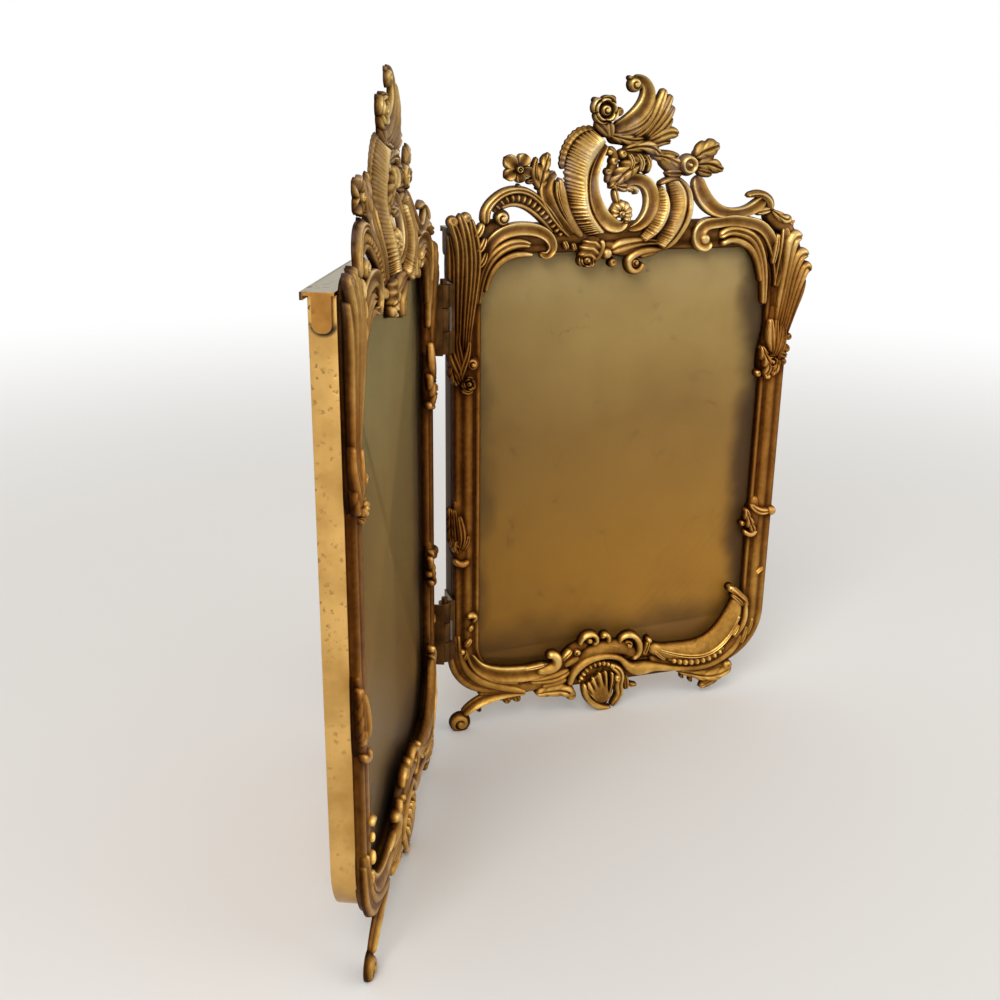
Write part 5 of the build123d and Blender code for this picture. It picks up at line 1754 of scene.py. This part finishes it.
@dataclass(frozen=True)
class Studio:
    """Pale floor, soft lamps, white surround and the camera of the photograph.

    A lamp has a name, a place, a width and a power.
    """

    camera_place: tuple = (-0.13865, -0.31917, 0.22288)
    pitch_down: float = 18.713
    heading: float = 17.961
    roll: float = 0.675
    lens: float = 42.84
    paper: str = "e9e6e1"
    white: str = "ffffff"
    floor_half: float = 4.0
    middle: tuple = (0.0, 0.0, 0.1)
    lamps: tuple = (("key", (-0.7, -1.1, 1.3), 1.1, 17.0), ("fill", (1.2, -0.8, 0.7), 0.9, 3.6))

    def camera(self) -> None:
        """Stand the camera where the photograph was taken from."""
        data = bpy.data.cameras.new("camera")
        data.lens = self.lens
        data.clip_start = 0.01
        eye = bpy.data.objects.new("camera", data)
        turn = Euler((math.radians(90 - self.pitch_down), 0.0, math.radians(-self.heading))).to_matrix()
        turn = turn @ Matrix.Rotation(math.radians(self.roll), 3, "Z")
        eye.matrix_world = Matrix.Translation(self.camera_place) @ turn.to_4x4()
        bpy.context.scene.collection.objects.link(eye)
        bpy.context.scene.camera = eye

    def lamp(self, name: str, place: tuple, width: float, power: float) -> None:
        """Hang one square soft lamp that looks at the middle of the frame."""
        data = bpy.data.lights.new(name, "AREA")
        data.size = width
        data.energy = power
        lamp = bpy.data.objects.new(name, data)
        aim = np.array(place) - np.array(self.middle)
        aim = aim / np.linalg.norm(aim)
        side = np.cross((0, 0, 1), aim)
        side = side / np.linalg.norm(side)
        turn = Matrix(np.column_stack([side, np.cross(aim, side), aim]).tolist())
        lamp.matrix_world = Matrix.Translation(place) @ turn.to_4x4()
        bpy.context.scene.collection.objects.link(lamp)

    def floor(self) -> None:
        """Lay a wide pale floor that goes over into the white surround."""
        mesh = bpy.data.meshes.new("studio_floor")
        half = self.floor_half
        corners = [(-half, -half, 0.0), (half, -half, 0.0), (half, half, 0.0), (-half, half, 0.0)]
        mesh.from_pydata(corners, [], [(0, 1, 2, 3)])
        floor = bpy.data.objects.new("studio_floor", mesh)
        material, shader, place = new_material("matt_paper_floor")
        tree = material.node_tree
        fill(tree, shader, {"Base Color": colour(self.paper), "Roughness": 0.85})
        away = add_node(tree, "VectorMath", {"operation": "LENGTH"}, {0: place})
        far = add_node(tree, "MapRange", SOFT_STEP, {"Value": away, "From Min": 0.3, "From Max": 1.0})
        seen = add_node(tree, "LightPath").outputs["Is Camera Ray"]
        share = add_node(tree, "Math", MULTIPLY, {0: far, 1: seen})
        glow = add_node(tree, "Emission", inputs={"Color": colour(self.white), "Strength": 1.0})
        mix_surface(tree, share, shader, glow)
        mesh.materials.append(material)
        bpy.context.scene.collection.objects.link(floor)

    def surround(self) -> None:
        """White all round for the camera, glossy and transmission rays, and soft grey light."""
        world = bpy.data.worlds.new("studio")
        world.use_nodes = True
        tree = world.node_tree
        tree.nodes.clear()
        path = add_node(tree, "LightPath").outputs
        seen = add_node(tree, "Math", LARGER, {0: path["Is Camera Ray"], 1: path["Is Glossy Ray"]})
        seen = add_node(tree, "Math", LARGER, {0: seen, 1: path["Is Transmission Ray"]})
        white = add_node(tree, "Background", inputs={"Color": colour(self.white), "Strength": 1.0})
        soft = add_node(tree, "Background", inputs={"Color": colour(self.white), "Strength": 0.6})
        both = add_node(tree, "MixShader", inputs={0: seen, 1: soft, 2: white})
        add_node(tree, "OutputWorld", inputs={"Surface": both})
        bpy.context.scene.world = world

    def build(self) -> None:
        """Set up everything that isn't part of the frame."""
        self.camera()
        self.floor()
        self.surround()
        for lamp in self.lamps:
            self.lamp(*lamp)
        bpy.context.scene.view_settings.view_transform = "Standard"


def build_frame(frame: dict) -> None:
    """Build both leaves, what they hold and the hinges between them."""
    casting, glass, board = GiltCasting().material(), WindowGlass().material(), GreyBoard().material()
    hinge_brass = SheetBrass("dull_hinge_brass", "5e4020", "34200e", "1c0f06", cloud_mm=6.0, roughness=0.45)
    hinge_finish = hinge_brass.material()
    wear = WearAndShade()
    for seat in SEATS:
        CastLeaf(seat, casting).build(wear)
        LeafStack(seat, glass, board, CARD_TONES[seat.side]).build(frame)
    for name in ("upper_hinge", "lower_hinge"):
        Hinge(name, hinge_finish).build(frame)


def main() -> None:
    """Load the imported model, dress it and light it."""
    logging.basicConfig(level=logging.INFO, format="%(name)s: %(message)s")
    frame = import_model()
    build_frame(frame)
    Studio().build()


if __name__ == "__main__":
    main()
